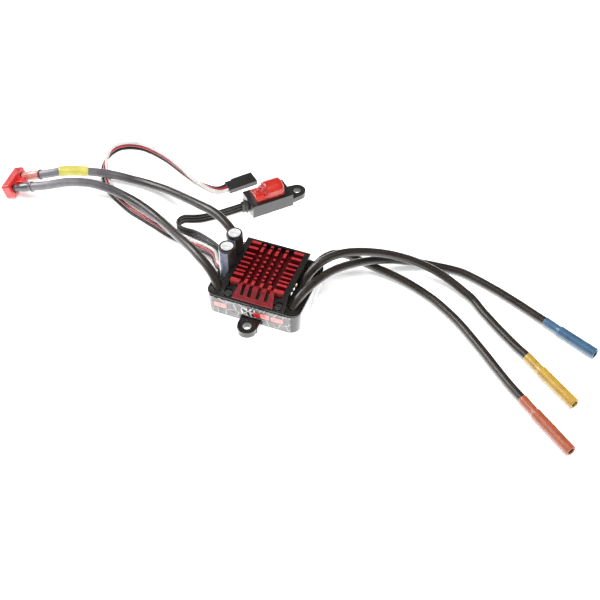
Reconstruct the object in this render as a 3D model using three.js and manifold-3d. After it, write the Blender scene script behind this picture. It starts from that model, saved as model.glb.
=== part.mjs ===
// Brushless speed controller with its leads, plugs and slide switch.
// Millimetres, +Z up. The origin is under the middle of the case, on the surface it stands on.
// +X points to the motor leads, -X to the battery leads, +Y to the back.
import * as THREE from 'three';
import { mergeVertices } from 'three/addons/utils/BufferGeometryUtils.js';
import Module from 'manifold-3d';

const wasm = await Module();
wasm.setup();

// ---------- driving dimensions ----------
const GAP = 0.3;                 // free space left between neighbouring pieces
const CASE_WIDTH = 47;           // X, at the rim
const CASE_DEPTH = 38;           // Y, at the rim
const CASE_CORNER = 4.5;
const CASE_DRAFT = 0.968;        // width at the floor over width at the rim
const CASE_WALL = 1.6;
const CASE_FLOOR = 1.6;
const CASE_WINDOW = { y: [1.6, 9.2], z: [4, 8.8] };  // where the thin leads pass the wall
const RIM_Z = 11.2;             // top of the tub's wall
const LIP_Z = 10.2;              // underside of the cover's plate, inside the tub's wall
const DECK_Z = 12;               // upper face of the cover's rim
const PLATEAU_Z = 18;            // upper face of the cover's raised part
const PLATEAU_X = 16.2;
const PLATEAU_BACK_Y = 17.3;
const SINK_LEFT_X = -13.2;
const SINK_RIGHT_X = 13.5;
const SINK_FRONT_Y = -12.2;
const SINK_BACK_Y = 16;
const SINK_BASE_Z = 14.2;        // top of the heatsink's plate, under its fins
const SLOPE_TOP_Z = 14.3;        // front slope of the cover, where it meets the heatsink
const TONGUE_Y = 24.2;           // screw hole of each mounting tongue
const TONGUE_RADIUS = 4.75;
const TONGUE_HOLE = 4.2;
const TONGUE_THICK = 3.2;
const SCREW_X = 12.6;
const SCREW_Y = -16;
const LAMP_Y = [-2.2, -5.1, -8.2];
const LAMP_Z = 15.5;
const CAN_SPOTS = [[-18.4, -2.5], [-18.6, 7]];   // front, rear
const CAN_TOP_Z = 29.4;
const CAN_RADIUS = 4.05;
const BOARD_Z = 7.2;
const BOARD_THICK = 1.6;
const BATTERY_LEAD = 4.5;        // outer diameters of the leads
const MOTOR_LEAD = 4.1;
const SIGNAL_WIRE = 1.5;
const SIGNAL_PITCH = 1.8;        // middle to middle of two wires in a three-way lead
const PLUG_PITCH = 10;           // middle to middle of the battery plug's blades
const PLUG_BODY = [4.6, 17, 8.2]; // along the blades, across, thick
const PLUG_TILT = 20;            // degrees that the battery plug leans on its blades
const PLUG_SPOT = [-153.5, 23.6, 4.05];
const PLUG_TURN = 4;
const SERVO_PLUG = [16, 7.8, 2.6];
const CONTACT_PITCH = 2.5;       // servo plug contacts
const SERVO_SPOT = [-43, 69.4, 0];
const SERVO_TURN = 48.7;
const SWITCH_BOX = [22.6, 13.4, 7.2];
const SWITCH_SPOT = [-23.9, 60.85, 0];
const SWITCH_TURN = 47;
const BULLET_RADIUS = 2.6;

// ---------- finishes ----------
const FINISH = {
  blackPlastic: { color: 0x2a2826, roughness: 0.55, metalness: 0 },
  blackShrink: { color: 0x24211f, roughness: 0.4, metalness: 0 },
  redAnodised: { color: 0xb02028, roughness: 0.35, metalness: 0.9 },
  silverCan: { color: 0xd8d8d6, roughness: 0.35, metalness: 1 },
  board: { color: 0x1d4a2e, roughness: 0.5, metalness: 0 },
  chip: { color: 0x1b1b1c, roughness: 0.5, metalness: 0 },
  pad: { color: 0x8a8f98, roughness: 0.9, metalness: 0 },
  screw: { color: 0x77787a, roughness: 0.35, metalness: 1 },
  label: { color: 0x33302f, roughness: 0.2, metalness: 0 },
  lamp: { color: 0xe9e6c0, roughness: 0.3, metalness: 0 },
  blackLead: { color: 0x35312e, roughness: 0.5, metalness: 0 },
  whiteWire: { color: 0xc9c4bd, roughness: 0.5, metalness: 0 },
  redWire: { color: 0x9a2c35, roughness: 0.5, metalness: 0 },
  redPlug: { color: 0xc0222a, roughness: 0.35, metalness: 0 },
  redShrink: { color: 0xb85a62, roughness: 0.4, metalness: 0 },
  yellowShrink: { color: 0xd8cd52, roughness: 0.4, metalness: 0 },
  blueShrink: { color: 0x4a6c96, roughness: 0.4, metalness: 0 },
  goldShrink: { color: 0xc8a032, roughness: 0.4, metalness: 0 },
  orangeShrink: { color: 0xb4603c, roughness: 0.4, metalness: 0 },
  gold: { color: 0xc79a3b, roughness: 0.3, metalness: 1 },
  redCap: { color: 0xb8302c, roughness: 0.3, metalness: 0 },
};

const controller = new THREE.Group();

function addPart(name, geometry, finish, parent = controller) {
  const mesh = new THREE.Mesh(geometry, new THREE.MeshStandardMaterial(FINISH[finish]));
  mesh.name = name;
  parent.add(mesh);
}

// ---------- shapes ----------
function block(x0, x1, y0, y1, z0, z1) {
  const box = new THREE.BoxGeometry(x1 - x0, y1 - y0, z1 - z0);
  return box.translate((x0 + x1) / 2, (y0 + y1) / 2, (z0 + z1) / 2);
}

function roundPost(x, y, radius, z0, z1, sides = 16) {
  const post = new THREE.CylinderGeometry(radius, radius, z1 - z0, sides);
  return post.rotateX(Math.PI / 2).translate(x, y, (z0 + z1) / 2);
}

function roundedOutline(width, depth, radius) {
  const x = width / 2 - radius;
  const y = depth / 2 - radius;
  const outline = new THREE.Shape();
  outline.absarc(x, y, radius, 0, Math.PI / 2);
  outline.absarc(-x, y, radius, Math.PI / 2, Math.PI);
  outline.absarc(-x, -y, radius, Math.PI, 1.5 * Math.PI);
  outline.absarc(x, -y, radius, 1.5 * Math.PI, 2 * Math.PI);
  return outline;
}

function outlineOf(points) {
  return new THREE.Shape(points.map(([u, v]) => new THREE.Vector2(u, v)));
}

function upright(outline, z0, z1, curveSegments = 2) {
  const settings = { depth: z1 - z0, bevelEnabled: false, curveSegments };
  return new THREE.ExtrudeGeometry(outline, settings).translate(0, 0, z0);
}

// A rounded block that narrows evenly from its top to its foot.
function draftedBlock(width, depth, radius, z0, z1, footScale) {
  const shape = upright(roundedOutline(width, depth, radius), z0, z1, 3);
  const spots = shape.attributes.position;
  for (let i = 0; i < spots.count; i += 1) {
    const part = (spots.getZ(i) - z0) / (z1 - z0);
    const scale = footScale + (1 - footScale) * part;
    spots.setX(i, spots.getX(i) * scale);
    spots.setY(i, spots.getY(i) * scale);
  }
  return shape;
}

// An outline of [y, z] points carried along X.
function alongX(points, x0, x1) {
  const settings = { depth: x1 - x0, bevelEnabled: false };
  const shape = new THREE.ExtrudeGeometry(outlineOf(points), settings);
  const toX = new THREE.Matrix4().makeBasis(
    new THREE.Vector3(0, 1, 0), new THREE.Vector3(0, 0, 1), new THREE.Vector3(1, 0, 0));
  return shape.applyMatrix4(toX).translate(x0, 0, 0);
}

// A turned piece about X, from [x, radius] points.
function turned(profile, sides = 16) {
  const points = profile.map(([x, radius]) => new THREE.Vector2(radius, x));
  return new THREE.LatheGeometry(points, sides).rotateZ(-Math.PI / 2);
}

function solidOf(geometry) {
  const bare = geometry.clone();
  bare.deleteAttribute('normal');
  bare.deleteAttribute('uv');
  const merged = mergeVertices(bare);
  return new wasm.Manifold(new wasm.Mesh({
    numProp: 3,
    vertProperties: new Float32Array(merged.attributes.position.array),
    triVerts: new Uint32Array(merged.index.array),
  }));
}

function geometryOf(solid) {
  const mesh = solid.getMesh();
  const geometry = new THREE.BufferGeometry();
  geometry.setAttribute('position', new THREE.BufferAttribute(mesh.vertProperties, 3));
  geometry.setIndex(new THREE.BufferAttribute(mesh.triVerts, 1));
  geometry.computeVertexNormals();
  return geometry;
}

function join(pieces) {
  let solid = solidOf(pieces[0]);
  for (const piece of pieces.slice(1)) {
    solid = solid.add(solidOf(piece));
  }
  return geometryOf(solid);
}

function cut(base, tools) {
  let solid = solidOf(base);
  for (const tool of tools) {
    solid = solid.subtract(solidOf(tool));
  }
  return geometryOf(solid);
}

function common(first, second) {
  return geometryOf(solidOf(first).intersect(solidOf(second)));
}

// ---------- leads ----------
const LEAD_STEP = 5;             // length of one straight facet of a lead
const SIGNAL_STEP = 4;

function polygon(radius, sides) {
  const corners = Array.from({ length: sides }, (_, k) => {
    const angle = (2 * Math.PI * k) / sides;
    return [radius * Math.cos(angle), radius * Math.sin(angle)];
  });
  return outlineOf(corners);
}

function smoothPath(points) {
  return new THREE.CatmullRomCurve3(points.map((p) => new THREE.Vector3(...p)), false, 'centripetal');
}

function lead(points, diameter, sides, step = LEAD_STEP) {
  const extrudePath = smoothPath(points);
  const steps = Math.ceil(extrudePath.getLength() / step);
  const section = polygon(diameter / 2, sides);
  return new THREE.ExtrudeGeometry(section, { extrudePath, steps, bevelEnabled: false });
}

// One wire of a flat three-way lead. Each route point is [x, y, z, lean], and lean is how many
// degrees the lead's flat side stands up from the surface.
function ribbonWire(route, offset) {
  return route.map(([x, y, z, lean], k) => {
    const before = route[Math.max(k - 1, 0)];
    const after = route[Math.min(k + 1, route.length - 1)];
    const run = Math.hypot(after[0] - before[0], after[1] - before[1]);
    const side = [(after[1] - before[1]) / run, -(after[0] - before[0]) / run];
    const flat = offset * Math.cos(THREE.MathUtils.degToRad(lean));
    const rise = offset * Math.sin(THREE.MathUtils.degToRad(lean));
    return [x + flat * side[0], y + flat * side[1], z + rise];
  });
}

const BATTERY_NEGATIVE = [
  [-18, -14, 10.7], [-19.3, -13, 12.6], [-20.7, -12, 14.4], [-23.4, -10, 16.5],
  [-27.6, -7.2, 17.9], [-32.5, -4.1, 18.5], [-38, -0.3, 18.3], [-43.5, 3.6, 17],
  [-49, 7.8, 15], [-54.5, 12.3, 12.9], [-60, 16.8, 10.8], [-66, 21.2, 8.9],
  [-72, 25.1, 7.6], [-78.4, 28.5, 6.9], [-85, 31.2, 6.6], [-91.5, 33, 6.7],
  [-98.3, 34, 7.4], [-104.5, 33.4, 8.9], [-110, 31.7, 10.7], [-115.5, 28.9, 12.2],
  [-121, 25.6, 13.05], [-126.2, 22.7, 12.65], [-130.4, 20.9, 11.8], [-134, 20, 10.95],
  [-137.41, 19.71, 9.8],
];
const BATTERY_POSITIVE = [
  [-17.8, 13.4, 10.7], [-19.1, 14.4, 12.6], [-20.6, 15.5, 14.4], [-23.5, 17.5, 16.7],
  [-27.9, 20.5, 18.3], [-33.5, 24, 19], [-40, 27.2, 18.8], [-46, 30.1, 17.3],
  [-52, 33.2, 15.3], [-58, 36.4, 13.1], [-63.5, 39.4, 11], [-69.5, 42.4, 8.9],
  [-75.5, 45, 7], [-81.8, 47, 5.4], [-88.5, 48.4, 4.3], [-95.5, 48.5, 4.1],
  [-102, 47.5, 5.1], [-107.6, 45.7, 6.5], [-112.6, 43.1, 8.2], [-117, 40.1, 9.9],
  [-120.8, 37.4, 11.3], [-124.8, 34.7, 12.25], [-128.9, 32.3, 12.4], [-132, 30.9, 11.7],
  [-135, 30.1, 10.85], [-138.11, 29.69, 9.8],
];
const MOTOR_FRONT = [
  [18.5, -13.6, 10.9], [19, -12.2, 12.6], [19.7, -10.5, 14.3], [21.2, -7.2, 16.4],
  [23.7, -2.1, 18], [26.9, 4.5, 18.6], [30.2, 11, 17.9], [34, 17.2, 16.3], [37.8, 22.9, 14.4],
  [42, 28.2, 12.3], [46.6, 33, 10.1], [51.8, 37.4, 7.8], [57.4, 41, 5.6], [63.5, 43.8, 3.9],
  [70, 45.5, 2.8], [77, 46.5, 2.3], [84, 46.5, 2.2], [91.3, 44.7, 2.2], [98.1, 42.5, 2.2],
  [104.6, 40.2, 2.2], [110.7, 37.7, 2.2], [117.1, 34.9, 2.3], [123.3, 32, 2.4],
  [129.03, 29.33, 2.6],
];
const MOTOR_MIDDLE = [
  [18.3, -0.2, 10.6], [18.6, 1, 12.8], [19.2, 2.6, 15.4], [20.6, 5.3, 18.6],
  [23.3, 9.1, 21.4], [27.3, 13.7, 23.1], [32.5, 18.4, 23.3], [38, 22.6, 22.2],
  [43.6, 26.5, 20.3], [49.4, 30.2, 17.9], [55.2, 33.2, 15.3], [61.2, 35.6, 12.6],
  [67.6, 36.9, 10], [74.2, 37.1, 7.6], [80.9, 35.9, 5.5], [87.5, 33.6, 3.8],
  [93.8, 30.6, 2.7], [100, 25.3, 2.2], [105.6, 20.7, 2.2], [110.7, 16.6, 2.2],
  [115.9, 12.6, 2.3], [121.3, 8.6, 2.4], [126.46, 5.09, 2.6],
];
const MOTOR_REAR = [
  [18.2, 11.6, 10.6], [19, 12.9, 12.5], [20.3, 15, 14.7], [22.4, 18.2, 16.4],
  [25.5, 21.7, 16.9], [29.3, 25, 15.6], [33.7, 27.6, 12.7], [38.9, 29.8, 8.7],
  [44.8, 31.1, 5.8], [51.4, 31.4, 4.1], [58.3, 30.5, 3.1], [65, 28.8, 2.5], [71.5, 26.4, 2.2],
  [77.5, 23.5, 2.2], [83.3, 20, 2.2], [89, 16.2, 2.2], [94.4, 12, 2.2], [99.6, 7.5, 2.2],
  [104.8, 2.9, 2.2], [110, -1.8, 2.2], [115, -6.5, 2.3], [120, -11.1, 2.4], [125, -15.5, 2.5],
  [130.17, -19.61, 2.6],
];
const RECEIVER_LEAD = [
  [-25.1, 3.4, 7, 90], [-27.3, 4.4, 7, 80], [-29.4, 7, 6.9, 70], [-31.9, 10.4, 6.3, 62],
  [-35.7, 13.2, 5.1, 56], [-40.4, 15.4, 3.8, 52], [-46.2, 17, 2.9, 50], [-52, 18.5, 2.5, 50],
  [-58, 20, 2.25, 50], [-63.5, 21.5, 2.2, 50], [-69, 23.5, 2.2, 50], [-75, 25.5, 2.2, 50],
  [-80.5, 27.5, 2.1, 45], [-86, 29.5, 1.9, 35], [-91, 32, 1.7, 28], [-96.5, 35, 1.65, 25],
  [-101.5, 38, 1.65, 25], [-106, 41.5, 1.65, 25], [-110, 46, 1.75, 28],
  [-113.5, 51, 1.95, 38], [-116, 56, 2.25, 52], [-117.5, 62, 2.55, 72],
  [-117.2, 67.5, 2.65, 90], [-114.5, 72.3, 2.65, 90], [-109, 75.2, 2.65, 90],
  [-103, 76, 2.65, 90], [-97.3, 75.1, 2.65, 90], [-91.5, 73.5, 2.65, 90],
  [-86, 71.4, 2.65, 90], [-80.8, 68.9, 2.65, 90], [-75.6, 66.2, 2.65, 85],
  [-70.3, 63.4, 2.55, 72], [-64.8, 61.2, 2.35, 55], [-59.2, 60, 2.05, 38],
  [-54.2, 59.5, 1.7, 20], [-50.9, 60.6, 1.4, 6], [-48.48, 63.16, 1.3, 0],
];
const SWITCH_LEAD = [
  [-25.1, 7.4, 7, 90], [-27.2, 8.5, 7, 82], [-29.3, 11.2, 6.9, 72], [-32.2, 14.4, 6.5, 63],
  [-36.2, 17.2, 5.4, 58], [-40.5, 19.6, 4.4, 58], [-45, 21.8, 3.6, 62], [-49.6, 23.3, 3, 70],
  [-54, 23.7, 2.8, 80], [-57.9, 25.1, 2.65, 90], [-59.9, 28.5, 2.65, 90],
  [-58.4, 32.1, 2.65, 90], [-54.6, 33.7, 2.65, 90], [-50.7, 35.6, 2.65, 90],
  [-46.5, 38.8, 2.7, 90], [-42.5, 42.2, 2.9, 90], [-38.4, 45.8, 3.3, 90],
  [-34.3, 49.7, 3.6, 90],
];

const LEAD_CLEARANCE = 0.7;      // how much wider than its lead a hole in the cover is
const ENTRY_POINTS = 5;          // first points of a route, where it passes the cover

function entryHole(route, diameter) {
  const [first, second] = route;
  const below = first.map((value, axis) => 2 * value - second[axis]);
  return lead([below, ...route.slice(0, ENTRY_POINTS)], diameter + LEAD_CLEARANCE, 12, 2.5);
}

// ---------- case ----------
function tongue(side) {
  const arm = block(-5, 5, 17.5, TONGUE_Y, 0, TONGUE_THICK);
  const ring = roundPost(0, TONGUE_Y, TONGUE_RADIUS, 0, TONGUE_THICK, 24);
  const shape = cut(join([arm, ring]), [roundPost(0, TONGUE_Y, TONGUE_HOLE / 2, -1, 5, 20)]);
  return side < 0 ? shape.rotateZ(Math.PI) : shape;
}

function canHoles() {
  return CAN_SPOTS.map(
    ([x, y]) => roundPost(x, y, CAN_RADIUS + GAP, 8.8, CAN_TOP_Z, 24));
}

function caseTub() {
  const outside = draftedBlock(CASE_WIDTH, CASE_DEPTH, CASE_CORNER, 0, RIM_Z, CASE_DRAFT);
  const hollowWidth = CASE_WIDTH - 2 * CASE_WALL;
  const hollowDepth = CASE_DEPTH - 2 * CASE_WALL;
  const hollow = draftedBlock(
    hollowWidth, hollowDepth, CASE_CORNER - CASE_WALL, CASE_FLOOR, RIM_Z + 0.01, 0.974);
  const leadWindow = block(-25, -20, ...CASE_WINDOW.y, ...CASE_WINDOW.z);
  const shell = cut(outside, [hollow, leadWindow]);
  const bosses = [-SCREW_X, SCREW_X].map((x) => roundPost(x, SCREW_Y, 2.2, 1, LIP_Z - GAP));
  const standoffs = [[-16, -11], [16, -11], [-16, 14], [16, 14]].map(
    ([x, y]) => roundPost(x, y, 1.5, 1, 2.3, 12));
  const whole = join([shell, tongue(-1), tongue(1), ...bosses, ...standoffs]);
  const screwHoles = [-SCREW_X, SCREW_X].map((x) => roundPost(x, SCREW_Y, 1.2, 4.2, RIM_Z + 1, 12));
  return cut(whole, [...screwHoles, ...canHoles()]);
}

function topCover() {
  const rim = upright(
    roundedOutline(CASE_WIDTH, CASE_DEPTH, CASE_CORNER), RIM_Z + GAP, DECK_Z, 3);
  const lipInset = 2 * (CASE_WALL + GAP);
  const lip = upright(
    roundedOutline(CASE_WIDTH - lipInset, CASE_DEPTH - lipInset, CASE_CORNER - CASE_WALL - GAP),
    LIP_Z, RIM_Z + 0.5, 3);
  const base = DECK_Z - 0.5;
  const windowLeft = SINK_LEFT_X - GAP;
  const windowRight = SINK_RIGHT_X + GAP;
  const windowFront = SINK_FRONT_Y - GAP;
  const windowBack = SINK_BACK_Y + GAP;
  const rimFront = -CASE_DEPTH / 2;
  const sideProfile = [
    [rimFront, base], [PLATEAU_BACK_Y, base], [PLATEAU_BACK_Y, PLATEAU_Z],
    [windowFront, PLATEAU_Z], [windowFront - 3, 13.6], [rimFront, DECK_Z],
  ];
  const slopeProfile = [
    [rimFront, base], [windowFront, base], [windowFront, SLOPE_TOP_Z], [rimFront, DECK_Z],
  ];
  const leftWall = alongX(sideProfile, -PLATEAU_X, windowLeft);
  const rightWall = alongX(sideProfile, windowRight, PLATEAU_X);
  const slope = alongX(slopeProfile, windowLeft - 0.5, windowRight + 0.5);
  const backWall = block(
    windowLeft - 0.5, windowRight + 0.5, windowBack, PLATEAU_BACK_Y, base, PLATEAU_Z);
  const ribs = [-8, 8].map((x) => block(x - 3, x + 3, 15.9, 16.9, 9.3, LIP_Z + 1));
  const solid = join([rim, lip, leftWall, rightWall, slope, backWall, ...ribs]);
  const window = block(windowLeft, windowRight, windowFront, windowBack, 9.9, PLATEAU_Z + 1);
  const screwSeats = [-SCREW_X, SCREW_X].map((x) => roundPost(x, SCREW_Y, 2.2, 11.9, 16));
  const screwHoles = [-SCREW_X, SCREW_X].map((x) => roundPost(x, SCREW_Y, 1.25, 9, 13, 12));
  const lampPockets = LAMP_Y.map(
    (y) => block(PLATEAU_X - 0.7, PLATEAU_X + 1, y - 1.1, y + 1.1, LAMP_Z - 0.9, LAMP_Z + 0.9));
  const leadHoles = [
    entryHole(BATTERY_NEGATIVE, BATTERY_LEAD), entryHole(BATTERY_POSITIVE, BATTERY_LEAD),
    entryHole(MOTOR_FRONT, MOTOR_LEAD), entryHole(MOTOR_MIDDLE, MOTOR_LEAD),
    entryHole(MOTOR_REAR, MOTOR_LEAD),
  ];
  return cut(solid, [
    window, ...canHoles(), ...screwSeats, ...screwHoles, ...lampPockets, ...leadHoles]);
}

function coverScrew() {
  const head = roundPost(0, 0, 1.85, 12.2, 13.3, 16);
  const shank = roundPost(0, 0, 0.9, 4.8, 12.5, 10);
  const slot = block(-2, 2, -0.25, 0.25, 12.8, 14);
  return cut(join([head, shank]), [slot]);
}

// A thin sheet wrapped over the front face and a little way round both corners.
function frontLabel() {
  const near = 0.15;
  const thick = 0.35;
  const skin = (grow) => draftedBlock(
    CASE_WIDTH + 2 * grow, CASE_DEPTH + 2 * grow, CASE_CORNER + grow, 0, RIM_Z, CASE_DRAFT);
  const sheet = cut(skin(near + thick), [skin(near)]);
  const area = block(-21.6, 19.8, -25, -12, 0.9, RIM_Z - 0.2);
  const tongueNotch = block(-5.6, 5.6, -25, -12, 0, TONGUE_THICK + 0.6);
  return cut(common(sheet, area), [tongueNotch]);
}

function addCase() {
  addPart('case_tub', caseTub(), 'blackPlastic');
  addPart('top_cover', topCover(), 'blackPlastic');
  addPart('cover_screw_left', coverScrew().translate(-SCREW_X, SCREW_Y, 0), 'screw');
  addPart('cover_screw_right', coverScrew().translate(SCREW_X, SCREW_Y, 0), 'screw');
  addPart('front_label', frontLabel(), 'label');
  LAMP_Y.forEach((y, k) => {
    const lamp = block(
      PLATEAU_X - 0.4, PLATEAU_X + 0.3, y - 0.8, y + 0.8, LAMP_Z - 0.6, LAMP_Z + 0.6);
    addPart(`status_led_${k + 1}`, lamp, 'lamp');
  });
  const wallX = -CASE_WIDTH / 2;
  const neck = block(wallX - 0.8, wallX + 2.6, 1.9, 8.9, 4.3, 8.5);
  const flange = block(wallX - 1.3, wallX - GAP, 1.3, 9.5, 3.7, 10.1);
  addPart('signal_grommet', join([neck, flange]), 'blackShrink');
}

// ---------- heatsink ----------
const FIN_ROWS = [
  [15.2, 1.6], [11.4, 1.4], [7.3, 0.9], [4.2, 0.9], [1, 0.9], [-1.9, 0.9], [-4.7, 0.9],
  [-7.2, 1.4], [-11.2, 2],
];                               // middle and thickness of each row of fins
const PIN_ROWS = [7.3, 4.2, 1, -1.9, -4.7, -7.2];
const PIN_COLUMNS = [-5.8, -2.2, 1.5, 5.2];
const LONG_PIN_COLUMNS = [-6.5, -2.6, 1, 5.1];
const FRONT_PIN_COLUMNS = [-5.8, -2.2, 2.1, 6.2];

function pin(x, y, width, length, top = PLATEAU_Z) {
  return block(x - width / 2, x + width / 2, y - length / 2, y + length / 2, 14, top);
}

// The grooved apron that leans forward from the heatsink over the cover's slope.
function sinkApron() {
  const frontY = -18.2;
  const frontZ = 13.2;
  const backZ = 17;
  const plan = outlineOf([[-9.9, frontY], [10.5, frontY], [8.9, -11], [-7.9, -11]]);
  const profile = [[frontY, 12.6], [-11, 15.1], [-11, backZ], [-12.6, backZ], [frontY, frontZ]];
  const riser = block(-7.8, 8.8, SINK_FRONT_Y, -11.4, 14, 17);
  const wedge = common(upright(plan, 10, 20), alongX(profile, -12, 12));
  const lean = Math.atan2(backZ - frontZ, -12.6 - frontY);
  const grooves = FRONT_PIN_COLUMNS.map((x) => {
    const groove = block(-0.9, 0.9, -1.4, 4.6, -2.4, 3);
    return groove.rotateX(lean).translate(x, (frontY - 12.6) / 2, (frontZ + backZ) / 2);
  });
  return cut(join([wedge, riser]), grooves);
}

function heatsink() {
  const base = block(
    SINK_LEFT_X, SINK_RIGHT_X, SINK_FRONT_Y, SINK_BACK_Y, DECK_Z + 0.2, SINK_BASE_Z);
  const fins = FIN_ROWS.flatMap(([y, thick]) => [
    block(SINK_LEFT_X, -8.5, y - thick / 2, y + thick / 2, 14, PLATEAU_Z),
    block(8.5, SINK_RIGHT_X, y - thick / 2, y + thick / 2, 14, PLATEAU_Z),
  ]);
  const pins = PIN_ROWS.flatMap((y) => PIN_COLUMNS.map((x) => pin(x, y, 1.3, 1.1)));
  const longPins = LONG_PIN_COLUMNS.map((x) => pin(x, 11.6, 1.4, 3.2));
  const backPins = LONG_PIN_COLUMNS.map((x) => pin(x, 14.9, 1.4, 1.1));
  const frontPins = FRONT_PIN_COLUMNS.map((x) => pin(x, -10.3, 1.5, 2.6));
  return join([base, ...fins, ...pins, ...longPins, ...backPins, ...frontPins, sinkApron()]);
}

// ---------- electronics ----------
function addElectronics() {
  const boardTop = BOARD_Z + BOARD_THICK;
  addPart('heatsink', heatsink(), 'redAnodised');
  addPart('thermal_pad', block(-12.4, 12.4, -11, 13, 10.9, 11.9), 'pad');
  addPart('power_board', block(-20.4, 20.4, -13.3, 16.4, BOARD_Z, boardTop), 'board');
  addPart('control_board', block(-19.6, 19.6, -13.3, 16, 2.6, 4.2), 'board');
  addPart('microcontroller', block(-11, -2, -5, 4, 4.5, 5.7), 'chip');
  addPart('board_header', block(10, 13, -8, 8, 4.5, BOARD_Z - GAP), 'chip');
  [-8.5, 0, 8.5].forEach((x, column) => {
    [-5, 6].forEach((y, row) => {
      const chip = block(x - 3, x + 3, y - 2.5, y + 2.5, boardTop + GAP, 10.6);
      addPart(`mosfet_${2 * column + row + 1}`, chip, 'chip');
    });
  });
  const sleeveWall = 0.3;
  const sleeveFoot = boardTop + GAP;
  const canRadius = CAN_RADIUS - sleeveWall - GAP;
  const sleeveProfile = [
    [sleeveFoot, CAN_RADIUS], [CAN_TOP_Z, CAN_RADIUS], [CAN_TOP_Z, canRadius - 0.3],
    [CAN_TOP_Z - 0.3, canRadius - 0.3], [CAN_TOP_Z - 0.3, CAN_RADIUS - sleeveWall],
    [sleeveFoot, CAN_RADIUS - sleeveWall], [sleeveFoot, CAN_RADIUS],
  ];
  ['front', 'rear'].forEach((place, k) => {
    const [x, y] = CAN_SPOTS[k];
    const can = roundPost(x, y, canRadius, sleeveFoot, CAN_TOP_Z - 0.6, 20);
    addPart(`capacitor_${place}`, can, 'silverCan');
    const sleeve = turned(sleeveProfile, 24).rotateY(-Math.PI / 2);
    addPart(`capacitor_sleeve_${place}`, sleeve.translate(x, y, 0), 'blackShrink');
  });
}

// ---------- battery leads and plug ----------
const PLUG_SLEEVE_LENGTH = 11.6;
const BLADE_REACH = 2.6;         // how far the blades stand out of the plug
const BLADE_HALF_WIDTH = 1.9;
const TAIL_RADIUS = 1.1;         // the round tail that the lead is soldered to

function plugBlade(side) {
  const blade = block(-BLADE_REACH, PLUG_BODY[0], -0.5, 0.5, -BLADE_HALF_WIDTH, BLADE_HALF_WIDTH);
  const tail = turned([[4, 0], [4, TAIL_RADIUS], [11, TAIL_RADIUS], [11, 0]], 12);
  return join([blade, tail]).translate(0, (side * PLUG_PITCH) / 2, 0);
}

function plugBody() {
  const [length, width, thick] = PLUG_BODY;
  const y = width / 2;
  const z = thick / 2;
  const bevel = 0.8;
  const body = alongX([
    [-y, bevel - z], [bevel - y, -z], [y - bevel, -z], [y, bevel - z],
    [y, z - bevel], [y - bevel, z], [bevel - y, z], [-y, z - bevel],
  ], 0, length);
  const rib = block(length - 0.5, length + 4.2, -1.9, 1.9, 1 - z, 1.7);
  const slots = [-1, 1].map((side) => {
    const middle = (side * PLUG_PITCH) / 2;
    const halfY = TAIL_RADIUS + GAP;
    const halfZ = BLADE_HALF_WIDTH + GAP;
    return block(-1, length + 1, middle - halfY, middle + halfY, -halfZ, halfZ);
  });
  return cut(join([body, rib]), slots);
}

function addBatterySide() {
  addPart('battery_lead_positive', lead(BATTERY_POSITIVE, BATTERY_LEAD, 10), 'blackLead');
  addPart('battery_lead_negative', lead(BATTERY_NEGATIVE, BATTERY_LEAD, 10), 'blackLead');
  const plug = new THREE.Group();
  plug.position.set(...PLUG_SPOT);
  plug.rotation.set(
    0, THREE.MathUtils.degToRad(-PLUG_TILT), THREE.MathUtils.degToRad(PLUG_TURN), 'ZYX');
  controller.add(plug);
  addPart('battery_plug_body', plugBody(), 'redPlug', plug);
  [['positive', 1, 'redShrink'], ['negative', -1, 'blackShrink']].forEach(([pole, side, finish]) => {
    addPart(`plug_blade_${pole}`, plugBlade(side), 'gold', plug);
    const foot = PLUG_BODY[0] + GAP;
    const end = foot + PLUG_SLEEVE_LENGTH;
    const sleeve = turned(
      [[foot, 1.6], [foot, 2.55], [end, 2.45], [end, 1.6], [foot, 1.6]], 16);
    addPart(`plug_sleeve_${pole}`, sleeve.translate(0, (side * PLUG_PITCH) / 2, 0), finish, plug);
  });
}

// The yellow sleeve that marks the positive lead, a loose tube round a short stretch of it.
function markerSleeve() {
  const stretch = BATTERY_POSITIVE.slice(-7, -3);
  const section = polygon(2.95, 12);
  section.holes.push(new THREE.Path(polygon(2.65, 12).getPoints()));
  return new THREE.ExtrudeGeometry(
    section, { extrudePath: smoothPath(stretch), steps: 6, bevelEnabled: false });
}

// ---------- motor leads and bullet sockets ----------
const BULLETS = {
  blue: { mouth: [129.3, 29.2, 2.6], step: [137, 25.6, 2.65], tip: [155.6, 17.5, 2.7] },
  yellow: { mouth: [126.7, 4.9, 2.6], step: [134.6, -1.3, 2.65], tip: [153, -14.8, 2.7] },
  orange: { mouth: [130.4, -19.8, 2.6], step: [137.9, -25.9, 2.65], tip: [157, -40.5, 2.7] },
};

function addBullet(colour, finish) {
  const { mouth, step, tip } = BULLETS[colour];
  const run = [tip[0] - step[0], tip[1] - step[1]];
  const length = Math.hypot(...run);
  const turn = Math.atan2(run[1], run[0]);
  const inStep = [step[0] + (1.5 * run[0]) / length, step[1] + (1.5 * run[1]) / length, step[2]];
  const neck = lead([mouth, step, inStep], 4.5, 12, 3);
  const barrel = turned([
    [0, 0], [0, 2.3], [0.8, BULLET_RADIUS], [length, BULLET_RADIUS], [length, 2.2],
    [length - 15, 2.2], [length - 15, 0],
  ]);
  const place = (shape) => shape.rotateZ(turn).translate(...step);
  addPart(`bullet_sleeve_${colour}`, join([neck, place(barrel)]), finish);
  const socket = turned([
    [length - 14.5, 0], [length - 14.5, 1.85], [length - 0.7, 1.85], [length - 0.7, 1.45],
    [length - 10, 1.45], [length - 10, 0],
  ]);
  addPart(`bullet_socket_${colour}`, place(socket), 'gold');
}

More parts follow.
